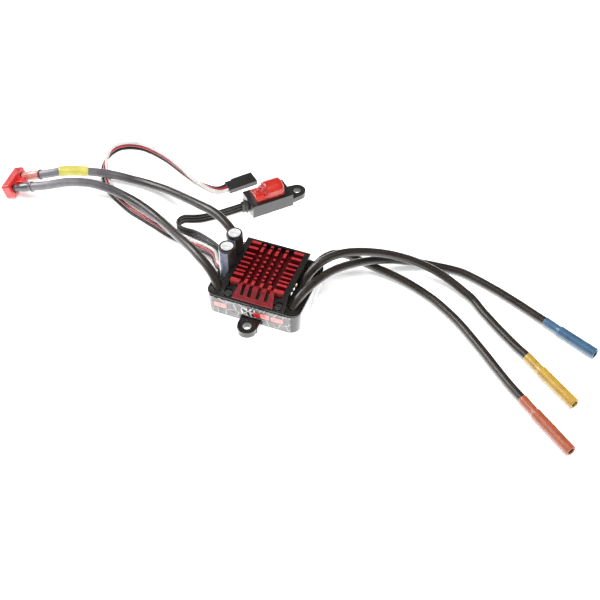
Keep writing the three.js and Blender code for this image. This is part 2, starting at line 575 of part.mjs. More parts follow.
function addMotorSide() {
  addPart('motor_lead_front', lead(MOTOR_FRONT, MOTOR_LEAD, 10), 'blackLead');
  addPart('motor_lead_middle', lead(MOTOR_MIDDLE, MOTOR_LEAD, 10), 'blackLead');
  addPart('motor_lead_rear', lead(MOTOR_REAR, MOTOR_LEAD, 10), 'blackLead');
  addBullet('blue', 'blueShrink');
  addBullet('yellow', 'goldShrink');
  addBullet('orange', 'orangeShrink');
}

// ---------- receiver lead and servo plug ----------
function addReceiverSide() {
  [['white', 1, 'whiteWire'], ['red', 0, 'redWire'], ['black', -1, 'blackLead']].forEach(
    ([colour, place, finish]) => {
      const route = ribbonWire(RECEIVER_LEAD, place * SIGNAL_PITCH);
      addPart(`receiver_wire_${colour}`, lead(route, SIGNAL_WIRE, 8, SIGNAL_STEP), finish);
    });
  const plug = new THREE.Group();
  plug.position.set(...SERVO_SPOT);
  plug.rotation.z = THREE.MathUtils.degToRad(SERVO_TURN);
  controller.add(plug);
  const [length, width, thick] = SERVO_PLUG;
  const body = block(-length / 2, length / 2, -width / 2, width / 2, 0, thick);
  const keyNotch = block(
    -length / 2 - 1, -length / 2 + 4.2, width / 2 - 0.8, width, -1, thick + 1);
  const cavities = [-1, 0, 1].map((k) => block(
    -length / 2 + 3.5, length / 2 + 1,
    k * CONTACT_PITCH - 0.85, k * CONTACT_PITCH + 0.85, 0.5, 2.1));
  addPart('servo_plug_housing', cut(body, [keyNotch, ...cavities]), 'blackPlastic', plug);
  ['ground', 'power', 'signal'].forEach((job, k) => {
    const y = (k - 1) * CONTACT_PITCH;
    const contact = block(-3.2, length / 2 - 0.8, y - 0.5, y + 0.5, 0.8, 1.8);
    addPart(`servo_contact_${job}`, contact, 'gold', plug);
  });
}

// ---------- switch ----------
function switchHousing() {
  const [length, width, height] = SWITCH_BOX;
  const wall = 1.4;
  const box = block(-length / 2, length / 2, -width / 2, width / 2, 0, height);
  const earReach = 16.7;
  const earTop = 2.8;
  const ear = join([
    upright(
      outlineOf([[length / 2 - 1, -5.3], [earReach + 0.4, -4.5], [earReach + 0.4, 4.5],
        [length / 2 - 1, 5.3]]), 0, earTop),
    roundPost(earReach, 0, 4.5, 0, earTop, 24),
  ]);
  const hollow = block(
    -length / 2 + wall, length / 2 - wall, -width / 2 + wall, width / 2 - wall, -1, height - wall);
  const earHole = roundPost(earReach, 0, 1.9, -1, 5, 16);
  const stemSlot = block(-5.5, 2.5, -1.9, 1.9, 4, 9);
  const grommetSlot = block(-length / 2 - 1, -length / 2 + 3, -1.3, 1.3, 0.9, 5.7);
  return cut(join([box, ear]), [hollow, earHole, stemSlot, grommetSlot]);
}

// A block along X with upright sides and an arched top.
function archedBlock(x0, x1, halfWidth, foot, shoulder, top) {
  const steps = 10;
  const arch = Array.from({ length: steps + 1 }, (_, k) => {
    const turn = (Math.PI * k) / steps;
    return [halfWidth * Math.cos(turn), shoulder + (top - shoulder) * Math.sin(turn)];
  });
  return alongX([[-halfWidth, foot], [halfWidth, foot], ...arch], x0, x1);
}

// A low shelf with a stud, a narrow collar, and the tall grip; the stem goes down into the box.
function switchCap() {
  const foot = SWITCH_BOX[2] + GAP;
  return join([
    archedBlock(-8.1, -2.5, 4.7, foot, 8.6, 10.2),
    archedBlock(-7.2, -4.2, 1.7, foot, 10.2, 11),
    archedBlock(-3.4, -1.8, 4.7, foot, 9.4, 12.3),
    archedBlock(-2.2, 7.6, 4.9, foot, 10.6, 14.2),
    block(-2, 2, -1.5, 1.5, 4.9, 8),
  ]);
}

function addSwitch() {
  ['top', 'middle', 'bottom'].forEach((place, k) => {
    const route = ribbonWire(SWITCH_LEAD, (1 - k) * SIGNAL_PITCH);
    addPart(`switch_wire_${place}`, lead(route, SIGNAL_WIRE, 8, SIGNAL_STEP), 'blackLead');
  });
  const box = new THREE.Group();
  box.position.set(...SWITCH_SPOT);
  box.rotation.z = THREE.MathUtils.degToRad(SWITCH_TURN);
  controller.add(box);
  addPart('switch_housing', switchHousing(), 'blackPlastic', box);
  addPart('switch_base', block(-8.2, 9.5, -4.9, 4.9, 0.1, 1.3), 'blackPlastic', box);
  addPart('switch_cap', switchCap(), 'redCap', box);
  addPart('switch_wiper', block(-3, 3, -2.4, 2.4, 3.4, 4.6), 'gold', box);
  const neck = block(-13, -9.4, -1, 1, 1.2, 5.4);
  const collar = block(-12.6, -11.6, -1.6, 1.6, 0.9, 6.2);
  const flange = block(-13.1, -12.4, -2.2, 2.2, 0.8, 6.4);
  const innerFlange = block(-9.6, -8.6, -2, 2, 1.6, 5.4);
  const tip = block(-14.8, -12.8, -1.2, 1.2, 1, 6.2);
  addPart('switch_grommet', join([neck, collar, flange, innerFlange, tip]), 'blackShrink', box);
}

addCase();
addElectronics();
addBatterySide();
addPart('wire_marker_sleeve', markerSleeve(), 'yellowShrink');
addMotorSide();
addReceiverSide();
addSwitch();

export default controller;
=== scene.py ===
import math

import bmesh
import bpy
from mathutils import Matrix, Vector, noise


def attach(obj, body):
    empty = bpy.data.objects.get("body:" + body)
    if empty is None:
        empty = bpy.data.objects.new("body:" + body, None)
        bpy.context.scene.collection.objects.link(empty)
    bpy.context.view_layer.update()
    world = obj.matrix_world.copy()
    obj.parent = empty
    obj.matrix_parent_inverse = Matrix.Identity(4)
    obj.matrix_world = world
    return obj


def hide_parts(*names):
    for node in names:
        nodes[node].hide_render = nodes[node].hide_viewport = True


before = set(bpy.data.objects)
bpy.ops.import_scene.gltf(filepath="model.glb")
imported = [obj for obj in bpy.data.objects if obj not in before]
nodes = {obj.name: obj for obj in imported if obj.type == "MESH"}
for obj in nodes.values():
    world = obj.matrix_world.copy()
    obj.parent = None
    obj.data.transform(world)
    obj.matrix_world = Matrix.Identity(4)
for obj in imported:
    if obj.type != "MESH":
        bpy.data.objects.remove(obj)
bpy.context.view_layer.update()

MM = 0.001
ROOT = "controller"
SLIDER = "switch_slider"
scene = bpy.context.scene

# ---------- camera and lamps ----------
CAMERA_AZIMUTH = 21
CAMERA_ELEVATION = 47
CAMERA_SPOT = (0.1570886, -0.3643255, 0.4218396)
LENS = 72
SENSOR_WIDTH = 36
CLIP_RANGE = (0.01, 20)


def add_camera():
    """The scene's camera, turned to look along its azimuth and elevation."""
    azimuth, elevation = math.radians(CAMERA_AZIMUTH), math.radians(CAMERA_ELEVATION)
    back = Vector((math.sin(azimuth) * math.cos(elevation),
                   -math.cos(azimuth) * math.cos(elevation), math.sin(elevation)))
    data = bpy.data.cameras.new("camera")
    data.lens = LENS
    data.sensor_width = SENSOR_WIDTH
    data.clip_start, data.clip_end = CLIP_RANGE
    data.dof.use_dof = False
    camera = bpy.data.objects.new("camera", data)
    camera.location = CAMERA_SPOT
    camera.rotation_mode = "QUATERNION"
    camera.rotation_quaternion = (-back).to_track_quat("-Z", "Y")
    scene.collection.objects.link(camera)
    scene.camera = camera


def add_area(name, spot, target, size, power, glossy=True, diffuse=True):
    """A square lamp, seen only in reflections if not diffuse, and never in them if not glossy."""
    data = bpy.data.lights.new(name, "AREA")
    data.shape = "SQUARE"
    data.size = size
    data.energy = power
    lamp = bpy.data.objects.new(name, data)
    lamp.location = spot
    lamp.rotation_mode = "QUATERNION"
    lamp.rotation_quaternion = (Vector(target) - Vector(spot)).to_track_quat("-Z", "Y")
    lamp.visible_camera = False
    lamp.visible_glossy = glossy
    lamp.visible_diffuse = diffuse
    scene.collection.objects.link(lamp)


add_camera()

# ---------- routes of the leads, in millimetres ----------
# A flat lead's points also give its lean in degrees: 0 lies flat, 90 stands on edge.
BATTERY_NEGATIVE = [
    (-18, -14, 10.7), (-19.3, -13, 12.6), (-20.7, -12, 14.4), (-23.4, -10, 16.5),
    (-27.6, -7.2, 17.9), (-32.5, -4.1, 18.5), (-38, -0.3, 18.3), (-43.5, 3.6, 17), (-49, 7.8, 15),
    (-54.5, 12.3, 12.9), (-60, 16.8, 10.8), (-66, 21.2, 8.9), (-72, 25.1, 7.6),
    (-78.4, 28.5, 6.9), (-85, 31.2, 6.6), (-91.5, 33, 6.7), (-98.3, 34, 7.4), (-104.5, 33.4, 8.9),
    (-110, 31.7, 10.7), (-115.5, 28.9, 12.2), (-121, 25.6, 13.05), (-126.2, 22.7, 12.65),
    (-130.4, 20.9, 11.8), (-134, 20, 10.95), (-137.41, 19.71, 9.8),
]
BATTERY_POSITIVE = [
    (-17.8, 13.4, 10.7), (-19.1, 14.4, 12.6), (-20.6, 15.5, 14.4), (-23.5, 17.5, 16.7),
    (-27.9, 20.5, 18.3), (-33.5, 24, 19), (-40, 27.2, 18.8), (-46, 30.1, 17.3), (-52, 33.2, 15.3),
    (-58, 36.4, 13.1), (-63.5, 39.4, 11), (-69.5, 42.4, 8.9), (-75.5, 45, 7), (-81.8, 47, 5.4),
    (-88.5, 48.4, 4.3), (-95.5, 48.5, 4.1), (-102, 47.5, 5.1), (-107.6, 45.7, 6.5),
    (-112.6, 43.1, 8.2), (-117, 40.1, 9.9), (-120.8, 37.4, 11.3), (-124.8, 34.7, 12.25),
    (-128.9, 32.3, 12.4), (-132, 30.9, 11.7), (-135, 30.1, 10.85), (-138.11, 29.69, 9.8),
]
MOTOR_FRONT = [
    (18.5, -13.6, 10.9), (19, -12.2, 12.6), (19.7, -10.5, 14.3), (21.2, -7.2, 16.4),
    (23.7, -2.1, 18), (26.9, 4.5, 18.6), (30.2, 11, 17.9), (34, 17.2, 16.3), (37.8, 22.9, 14.4),
    (42, 28.2, 12.3), (46.6, 33, 10.1), (51.8, 37.4, 7.8), (57.4, 41, 5.6), (63.5, 43.8, 3.9),
    (70, 45.5, 2.8), (77, 46.5, 2.3), (84, 46.5, 2.2), (91.3, 44.7, 2.2), (98.1, 42.5, 2.2),
    (104.6, 40.2, 2.2), (110.7, 37.7, 2.2), (117.1, 34.9, 2.3), (123.3, 32, 2.4),
    (129.03, 29.33, 2.6),
]
MOTOR_MIDDLE = [
    (18.3, -0.2, 10.6), (18.6, 1, 12.8), (19.2, 2.6, 15.4), (20.6, 5.3, 18.6), (23.3, 9.1, 21.4),
    (27.3, 13.7, 23.1), (32.5, 18.4, 23.3), (38, 22.6, 22.2), (43.6, 26.5, 20.3),
    (49.4, 30.2, 17.9), (55.2, 33.2, 15.3), (61.2, 35.6, 12.6), (67.6, 36.9, 10),
    (74.2, 37.1, 7.6), (80.9, 35.9, 5.5), (87.5, 33.6, 3.8), (93.8, 30.6, 2.7), (100, 25.3, 2.2),
    (105.6, 20.7, 2.2), (110.7, 16.6, 2.2), (115.9, 12.6, 2.3), (121.3, 8.6, 2.4),
    (126.46, 5.09, 2.6),
]
MOTOR_REAR = [
    (18.2, 11.6, 10.6), (19, 12.9, 12.5), (20.3, 15, 14.7), (22.4, 18.2, 16.4),
    (25.5, 21.7, 16.9), (29.3, 25, 15.6), (33.7, 27.6, 12.7), (38.9, 29.8, 8.7),
    (44.8, 31.1, 5.8), (51.4, 31.4, 4.1), (58.3, 30.5, 3.1), (65, 28.8, 2.5), (71.5, 26.4, 2.2),
    (77.5, 23.5, 2.2), (83.3, 20, 2.2), (89, 16.2, 2.2), (94.4, 12, 2.2), (99.6, 7.5, 2.2),
    (104.8, 2.9, 2.2), (110, -1.8, 2.2), (115, -6.5, 2.3), (120, -11.1, 2.4), (125, -15.5, 2.5),
    (130.17, -19.61, 2.6),
]
RECEIVER_LEAD = [
    (-25.1, 3.4, 7, 90), (-27.3, 4.4, 7, 80), (-29.4, 7, 6.9, 70), (-31.9, 10.4, 6.3, 62),
    (-35.7, 13.2, 5.1, 56), (-40.4, 15.4, 3.8, 52), (-46.2, 17, 2.9, 50), (-52, 18.5, 2.5, 50),
    (-58, 20, 2.25, 50), (-63.5, 21.5, 2.2, 50), (-69, 23.5, 2.2, 50), (-75, 25.5, 2.2, 50),
    (-80.5, 27.5, 2.1, 45), (-86, 29.5, 1.9, 35), (-91, 32, 1.7, 28), (-96.5, 35, 1.65, 25),
    (-101.5, 38, 1.65, 25), (-106, 41.5, 1.65, 25), (-110, 46, 1.75, 28), (-113.5, 51, 1.95, 38),
    (-116, 56, 2.25, 52), (-117.5, 62, 2.55, 72), (-117.2, 67.5, 2.65, 90),
    (-114.5, 72.3, 2.65, 90), (-109, 75.2, 2.65, 90), (-103, 76, 2.65, 90),
    (-97.3, 75.1, 2.65, 90), (-91.5, 73.5, 2.65, 90), (-86, 71.4, 2.65, 90),
    (-80.8, 68.9, 2.65, 90), (-75.6, 66.2, 2.65, 85), (-70.3, 63.4, 2.55, 72),
    (-64.8, 61.2, 2.35, 55), (-59.2, 60, 2.05, 38), (-54.2, 59.5, 1.7, 20), (-50.9, 60.6, 1.4, 6),
    (-48.48, 63.16, 1.3, 0),
]
SWITCH_LEAD = [
    (-25.1, 7.4, 7, 90), (-27.2, 8.5, 7, 82), (-29.3, 11.2, 6.9, 72), (-32.2, 14.4, 6.5, 63),
    (-36.2, 17.2, 5.4, 58), (-40.5, 19.6, 4.4, 58), (-45, 21.8, 3.6, 62), (-49.6, 23.3, 3, 70),
    (-54, 23.7, 2.8, 80), (-57.9, 25.1, 2.65, 90), (-59.9, 28.5, 2.65, 90),
    (-58.4, 32.1, 2.65, 90), (-54.6, 33.7, 2.65, 90), (-50.7, 35.6, 2.65, 90),
    (-46.5, 38.8, 2.7, 90), (-42.5, 42.2, 2.9, 90), (-38.4, 45.8, 3.3, 90),
    (-34.3, 49.7, 3.6, 90),
]
MOTOR_ROUTES = {"front": MOTOR_FRONT, "middle": MOTOR_MIDDLE, "rear": MOTOR_REAR}
SIGNAL_PITCH = 1.8
BATTERY_LEAD = 4.5
MOTOR_LEAD = 4.1
SIGNAL_WIRE = 1.6


def metres(points):
    """Points in millimetres as vectors in metres; a lean is dropped."""
    return [Vector(p[:3]) * MM for p in points]


def smooth_line(points, per_stretch=6):
    """A centripetal curve through the points, as a fine line."""
    line = []
    last = len(points) - 1
    for i in range(last):
        here, after = points[i], points[i + 1]
        before = points[i - 1] if i else 2 * points[0] - points[1]
        beyond = points[i + 2] if i + 2 <= last else 2 * points[last] - points[last - 1]
        t0 = (here - before).length ** 0.5
        t1 = (after - here).length ** 0.5
        t2 = (beyond - after).length ** 0.5
        m0 = ((here - before) / t0 - (after - before) / (t0 + t1) + (after - here) / t1) * t1
        m1 = ((after - here) / t1 - (beyond - here) / (t1 + t2) + (beyond - after) / t2) * t1
        for k in range(per_stretch):
            t = k / per_stretch
            line.append(
                here * (2 * t**3 - 3 * t**2 + 1) + m0 * (t**3 - 2 * t**2 + t)
                + after * (3 * t**2 - 2 * t**3) + m1 * (t**3 - t**2))
    line.append(points[last].copy())
    return line


def line_length(line):
    return sum((b - a).length for a, b in zip(line, line[1:]))


def ribbon_wire(route, across):
    """One wire of a flat lead; across counts the wires from the middle one."""
    offset = across * SIGNAL_PITCH
    wire = []
    for k, (x, y, z, lean) in enumerate(route):
        before, after = route[max(k - 1, 0)], route[min(k + 1, len(route) - 1)]
        dx, dy = after[0] - before[0], after[1] - before[1]
        run = math.hypot(dx, dy)
        flat, rise = offset * math.cos(math.radians(lean)), offset * math.sin(math.radians(lean))
        wire.append((x + flat * dy / run, y - flat * dx / run, z + rise))
    return wire


RECEIVER_ROUTES = {
    colour: ribbon_wire(RECEIVER_LEAD, across)
    for colour, across in (("white", 1), ("red", 0), ("black", -1))
}
SWITCH_ROUTES = {
    row: ribbon_wire(SWITCH_LEAD, across)
    for row, across in (("top", 1), ("middle", 0), ("bottom", -1))
}


# ---------- materials ----------
WORN_EDGE = (0.03, 0.2)  # one less the cosine of the bend, where wear starts and where it is full
MIX_SHARE, MIX_FIRST, MIX_SECOND, MIX_RESULT = 0, 6, 7, 2  # a colour Mix node's sockets


class Nodes:
    """Short names for the nodes that the materials use."""

    def __init__(self, name):
        self.material = bpy.data.materials.new(name)
        self.material.use_nodes = True
        self.tree = self.material.node_tree
        self.shader = self.tree.nodes["Principled BSDF"]
        self.spot = self.tree.nodes.new("ShaderNodeTexCoord").outputs["Object"]

    def link(self, value, socket):
        if isinstance(value, bpy.types.NodeSocket):
            self.tree.links.new(value, socket)
        else:
            socket.default_value = value

    def node(self, kind, **settings):
        made = self.tree.nodes.new(kind)
        for key, value in settings.items():
            setattr(made, key, value)
        return made

    def noise(self, scale, detail=3.0, spot=None, distortion=0.0, output="Fac"):
        made = self.node("ShaderNodeTexNoise")
        self.link(spot or self.spot, made.inputs["Vector"])
        made.inputs["Scale"].default_value = scale
        made.inputs["Detail"].default_value = detail
        made.inputs["Distortion"].default_value = distortion
        return made.outputs[output]

    def stretched(self, scale):
        made = self.node("ShaderNodeMapping")
        self.link(self.spot, made.inputs["Vector"])
        made.inputs["Scale"].default_value = scale
        return made.outputs["Vector"]

    def remap(self, value, low, high, to_low=0.0, to_high=1.0):
        made = self.node("ShaderNodeMapRange")
        self.link(value, made.inputs["Value"])
        made.inputs["From Min"].default_value = low
        made.inputs["From Max"].default_value = high
        made.inputs["To Min"].default_value = to_low
        made.inputs["To Max"].default_value = to_high
        return made.outputs["Result"]

    def mix(self, share, first, second):
        made = self.node("ShaderNodeMix", data_type="RGBA")
        self.link(share, made.inputs[MIX_SHARE])
        for value, socket in ((first, MIX_FIRST), (second, MIX_SECOND)):
            linked = isinstance(value, bpy.types.NodeSocket)
            self.link(value if linked else (*value, 1), made.inputs[socket])
        return made.outputs[MIX_RESULT]

    def clouds(self, first, second, scale, detail=4.0, low=0.3, high=0.7):
        """A colour that drifts between two in soft patches."""
        return self.mix(self.remap(self.noise(scale, detail), low, high), first, second)

    def uneven(self, rough, scale, detail=4.0, distortion=0.0):
        """A roughness that drifts between two values."""
        patches = self.noise(scale, detail, distortion=distortion)
        return self.remap(patches, 0.3, 0.7, *rough)

    def cracks(self, scale, low, high, spot=None):
        """1 on the borders of random cells, 0 inside them."""
        made = self.node("ShaderNodeTexVoronoi", feature="DISTANCE_TO_EDGE")
        made.inputs["Scale"].default_value = scale
        self.link(spot or self.spot, made.inputs["Vector"])
        return self.remap(made.outputs["Distance"], low, high, 1, 0)

    def math(self, operation, first, second=0.0):
        made = self.node("ShaderNodeMath", operation=operation)
        self.link(first, made.inputs[0])
        self.link(second, made.inputs[1])
        return made.outputs[0]

    def distance(self, across, up):
        """How far a point is from an axis, from its two offsets."""
        squares = [self.math("MULTIPLY", value, value) for value in (across, up)]
        return self.math("SQRT", self.math("ADD", *squares))

    def parts_of(self, vector):
        made = self.node("ShaderNodeSeparateXYZ")
        self.link(vector, made.inputs[0])
        return made.outputs

    def axes(self):
        return self.parts_of(self.spot)

    def facing(self):
        return self.node("ShaderNodeNewGeometry").outputs["Normal"]

    def edge(self, radius):
        """1 along sharp edges, 0 elsewhere; the radius is in millimetres."""
        worn = self.node("ShaderNodeBevel", samples=4)
        worn.inputs["Radius"].default_value = radius * MM
        dot = self.node("ShaderNodeVectorMath", operation="DOT_PRODUCT")
        self.link(worn.outputs[0], dot.inputs[0])
        self.link(self.facing(), dot.inputs[1])
        return self.remap(self.math("SUBTRACT", 1.0, dot.outputs["Value"]), *WORN_EDGE)

    def bump(self, height, depth, strength=1.0, over=None):
        """A raised normal, over another if one is given; the depth is in millimetres."""
        made = self.node("ShaderNodeBump")
        self.link(height, made.inputs["Height"])
        made.inputs["Distance"].default_value = depth * MM
        made.inputs["Strength"].default_value = strength
        if over is not None:
            self.link(over, made.inputs["Normal"])
        return made.outputs["Normal"]

    def finish(self, colour, roughness, normal=None, metallic=0.0, **sockets):
        self.link(colour, self.shader.inputs["Base Color"])
        self.link(roughness, self.shader.inputs["Roughness"])
        self.shader.inputs["Metallic"].default_value = metallic
        if normal is not None:
            self.link(normal, self.shader.inputs["Normal"])
        for key, value in sockets.items():
            self.shader.inputs[key.replace("_", " ")].default_value = value
        return self.material


def brighter(colour, gain, lift):
    """A paler colour, for dust and rubbed edges."""
    return tuple(min(1, gain * c + lift) for c in colour)


def moulded(name, base, lighter, rough, grain=0.004, wear=0.0, **sockets):
    """Moulded plastic: fine grain, cloudy gloss, and paler rubbed edges."""
    n = Nodes(name)
    colour = n.clouds(base, lighter, 160, 4, 0.35, 0.75)
    if wear:
        patchy = n.remap(n.noise(900), 0.4, 0.62, 0, wear)
        colour = n.mix(n.math("MULTIPLY", n.edge(0.5), patchy), colour, brighter(lighter, 5, 0.06))
    smudges = n.uneven(rough, 90, 5, distortion=1.2)
    normal = n.bump(n.noise(5200, 2), grain, 0.7)
    normal = n.bump(n.noise(420, 3), 0.008, 0.5, normal)
    return n.finish(colour, smudges, normal, **sockets)


def jacket(name, base, lighter, rough=(0.3, 0.42), **sockets):
    """Soft silicone or vinyl jacket: dusty, faintly uneven from the strands inside."""
    n = Nodes(name)
    dust = n.remap(n.noise(1400, 4), 0.52, 0.74, 0, 0.5)
    colour = n.clouds(base, lighter, 70, 3, 0.35)
    colour = n.mix(dust, colour, brighter(lighter, 2.2, 0.02))
    normal = n.bump(n.noise(260, 2), 0.03, 0.5)
    normal = n.bump(n.noise(3600, 3), 0.005, 0.5, normal)
    return n.finish(colour, n.uneven(rough, 240), normal, **sockets)


PAINTED_SHEEN_FROM = -84  # the painted sheen on the battery leads starts here, along X, in millimetres
PAINTED_SHEEN_FULLY = -126


def sheen_painted_jacket(name):
    """Silicone that is nearly black at the case, with a grey sheen painted into its colour towards
    the plug.
    """
    n = Nodes(name)
    grain = n.remap(n.noise(150, 4), 0.3, 0.7)
    dark = n.mix(grain, (0.012, 0.009, 0.007), (0.02, 0.016, 0.013))
    pale = n.mix(grain, (0.115, 0.112, 0.122), (0.19, 0.185, 0.2))
    # Painted sheen: the colour turns from near black to pale grey towards the plug, standing in
    # for a reflection.
    painted_sheen_share = n.remap(n.axes()[0], PAINTED_SHEEN_FULLY * MM, PAINTED_SHEEN_FROM * MM, 1, 0)
    colour = n.mix(painted_sheen_share, dark, pale)
    normal = n.bump(n.noise(700, 3), 0.006, 0.5)
    return n.finish(colour, n.uneven((0.3, 0.42), 240), normal, Specular_IOR_Level=0.36)


def shrunk(name, base, lighter, rough=(0.22, 0.36), **sockets):
    """Heat shrink: smooth film with long wrinkles and a print of what is under it."""
    n = Nodes(name)
    colour = n.clouds(base, lighter, 210, 4, 0.3, 0.75)
    normal = n.bump(n.noise(300, 3, distortion=0.5), 0.022, 0.5)
    normal = n.bump(n.noise(2600, 2), 0.004, 0.5, normal)
    return n.finish(colour, n.uneven(rough, 300, 3), normal, **sockets)


APRON_Y = (-13.6, -12.8)  # the slotted front slope ends here, in millimetres
GROOVE_SHADE_HEIGHT = (14.2, 17.2)  # painted shade: the grooves darken downwards over this height
GROOVE_SHADE_LEFT = 0.3  # the share of red left under the painted shade at the grooves' floor
LIT_TOP_HEIGHT = (16.5, 17.9)  # painted light: level faces turn paler over this height
LEVEL_FACE = (0.6, 0.95)  # the upward part of the normal on a face that counts as level
FIN_WEAR = 0.35


def anodised(name):
    """Red anodised aluminium: brushed, with painted light on the fins' level tops, paler worn
    edges, and painted shade in the grooves.
    """
    n = Nodes(name)
    base = n.clouds((0.12, 0.004, 0.007), (0.185, 0.008, 0.012), 380)
    _, y, height = n.axes()
    upward = n.parts_of(n.facing())[2]
    # Painted light: level faces high on the fins are paler, as if lit from above.
    top = n.math("MULTIPLY", n.remap(height, *(h * MM for h in LIT_TOP_HEIGHT)),
                 n.remap(upward, *LEVEL_FACE))
    painted_top_light = n.clouds((0.33, 0.014, 0.020), (0.47, 0.036, 0.042), 900, 3, 0.35)
    apron = n.remap(y, *(v * MM for v in APRON_Y), 1, 0)
    # Painted shade: the red darkens towards the grooves' floor, except on the front slope.
    lit = n.remap(height, *(h * MM for h in GROOVE_SHADE_HEIGHT), GROOVE_SHADE_LEFT, 1)
    base = n.mix(n.math("MAXIMUM", lit, apron), (0.02, 0.001, 0.002), base)
    colour = n.mix(top, base, painted_top_light)
    colour = n.mix(n.math("MULTIPLY", n.edge(0.25), FIN_WEAR), colour, (0.66, 0.11, 0.1))
    brushed = n.noise(1, 3, n.stretched((400, 5200, 5200)))
    return n.finish(colour, n.uneven((0.3, 0.46), 500), n.bump(brushed, 0.006, 0.6), 0.3)


def bare_metal(name, base, lighter, rough, metallic=1.0):
    """Plain metal with faint lines drawn along it."""
    n = Nodes(name)
    colour = n.clouds(base, lighter, 600)
    normal = n.bump(n.noise(1, 3, n.stretched((6000, 900, 900))), 0.004, 0.6)
    return n.finish(colour, n.uneven(rough, 800), normal, metallic)


CAN_RINGS = 21000  # radians of ring wave per metre, a ring each 0.3 mm


def can_top():
    """Drawn aluminium with faint turning rings about the can's own axis."""
    n = Nodes("can_aluminium")
    x, y, _ = n.axes()
    rings = n.math("SINE", n.math("MULTIPLY", n.distance(x, y), CAN_RINGS))
    colour = n.clouds((0.42, 0.43, 0.43), (0.72, 0.72, 0.70), 1300, 4, 0.35)
    normal = n.bump(rings, 0.004, 0.35)
    normal = n.bump(n.noise(1500, 3), 0.01, 0.5, normal)
    return n.finish(colour, n.uneven((0.28, 0.45), 700, 3), normal, 0.1)


# The polarity stripe, in degrees about the can's axis and millimetres up it. Each pair fades.
STRIPE_TURN = -111
STRIPE_HALF = (47, 49)
STRIPE_TOP = (27.7, 27.9)
STRIPE_WHITE = (-128, -124)  # the side of it that is white, not grey
DASH_HALF = (9, 11)
DASH_WAVE = 1500  # radians of dash wave per metre, a dash each 4.2 mm
DASH_CUT = (0.86, 0.92)  # only the crests of the wave above this are dashes


def can_sleeve():
    """Black sleeve with the pale polarity stripe down one side, broken by small dashes."""
    n = Nodes("can_sleeve")
    x, y, z = n.axes()
    turn = n.math("ARCTAN2", y, x)
    side = n.math("ABSOLUTE", n.math("SUBTRACT", turn, math.radians(STRIPE_TURN)))
    stripe = n.math("MULTIPLY", n.remap(side, *map(math.radians, STRIPE_HALF), 1, 0),
                    n.remap(z, *(h * MM for h in STRIPE_TOP), 1, 0))
    bars = n.math("SINE", n.math("MULTIPLY", z, DASH_WAVE))
    dash = n.math("MULTIPLY", n.remap(bars, *DASH_CUT),
                  n.remap(side, *map(math.radians, DASH_HALF), 1, 0))
    black = n.clouds((0.010, 0.0095, 0.01), (0.02, 0.019, 0.019), 260, 3)
    pale = n.clouds((0.12, 0.13, 0.19), (0.21, 0.22, 0.29), 420)
    white = n.remap(turn, *map(math.radians, STRIPE_WHITE), 1, 0)
    pale = n.mix(white, pale, (0.66, 0.66, 0.68))
    pale = n.mix(dash, pale, (0.06, 0.06, 0.08))
    colour = n.mix(stripe, black, pale)
    normal = n.bump(n.noise(500, 3), 0.02, 0.5)
    return n.finish(colour, n.uneven((0.26, 0.4), 240, 3), normal, Specular_IOR_Level=0.18)


# The label's print: middles and half sizes across and up the front face, in millimetres.
LABEL_BLOCKS = (((-15.7, 6.6), (3.3, 1.55)), ((6.9, 6.9), (2.3, 1.7)), ((13.1, 6.7), (3.1, 1.6)))
BLOCK_CORNER, BLOCK_RIM, RIM_CORNER = 0.9, 0.75, 1.5
DARK_PATCH, DARK_CORNER = ((-0.7, 7.0), (4.3, 2.7)), 2.1
RED_PATCH, RED_CORNER = ((2.7, 6.5), (1.7, 1.8)), 1.5
PATCH_SOFT = 0.12


def rounded_patch(n, x, z, centre, half, corner):
    """1 inside a rounded rectangle on the label, 0 outside; sizes in millimetres."""
    outside = []
    for value, middle, reach in ((x, centre[0], half[0]), (z, centre[1], half[1])):
        away = n.math("ABSOLUTE", n.math("SUBTRACT", value, middle * MM))
        outside.append(n.math("MAXIMUM", n.math("SUBTRACT", away, (reach - corner) * MM), 0.0))
    return n.remap(n.distance(*outside), (corner - PATCH_SOFT) * MM, (corner + PATCH_SOFT) * MM,
                   1, 0)


def label_film():
    """Printed film: pale cracks on grey, with plain rounded blocks and a dark patch."""
    n = Nodes("label_film")
    x, _, z = n.axes()
    bend = n.node("ShaderNodeVectorMath", operation="MULTIPLY_ADD")
    n.link(n.noise(420, 2, output="Color"), bend.inputs[0])
    bend.inputs[1].default_value = (1.6 * MM, 1.6 * MM, 1.6 * MM)
    n.link(n.spot, bend.inputs[2])
    bent = bend.outputs[0]
    wide, fine = n.cracks(190, 0.02, 0.05, bent), n.cracks(430, 0.012, 0.04, bent)
    lines = n.math("MULTIPLY", n.math("MAXIMUM", wide, n.math("MULTIPLY", fine, 0.3)), 0.7)
    grey = n.clouds((0.07, 0.066, 0.069), (0.155, 0.148, 0.153), 330, 5, 0.35)
    colour = n.mix(lines, grey, (0.58, 0.57, 0.575))
    salmon = n.clouds((0.80, 0.22, 0.21), (0.93, 0.37, 0.35), 700, 3, 0.4)
    for centre, half in LABEL_BLOCKS:
        rim = rounded_patch(n, x, z, centre, [reach + BLOCK_RIM for reach in half], RIM_CORNER)
        colour = n.mix(n.math("MULTIPLY", rim, 0.75), colour, (0.045, 0.05, 0.042))
        colour = n.mix(rounded_patch(n, x, z, centre, half, BLOCK_CORNER), colour, salmon)
    strokes = n.cracks(330, 0.05, 0.1, bent)
    inked = n.mix(strokes, (0.018, 0.018, 0.018), (0.8, 0.8, 0.8))
    colour = n.mix(rounded_patch(n, x, z, *DARK_PATCH, DARK_CORNER), colour, inked)
    red = rounded_patch(n, x, z, *RED_PATCH, RED_CORNER)
    colour = n.mix(red, colour, (0.62, 0.012, 0.018))
    return n.finish(colour, n.uneven((0.24, 0.38), 160), n.bump(n.noise(900, 3), 0.006, 0.5))


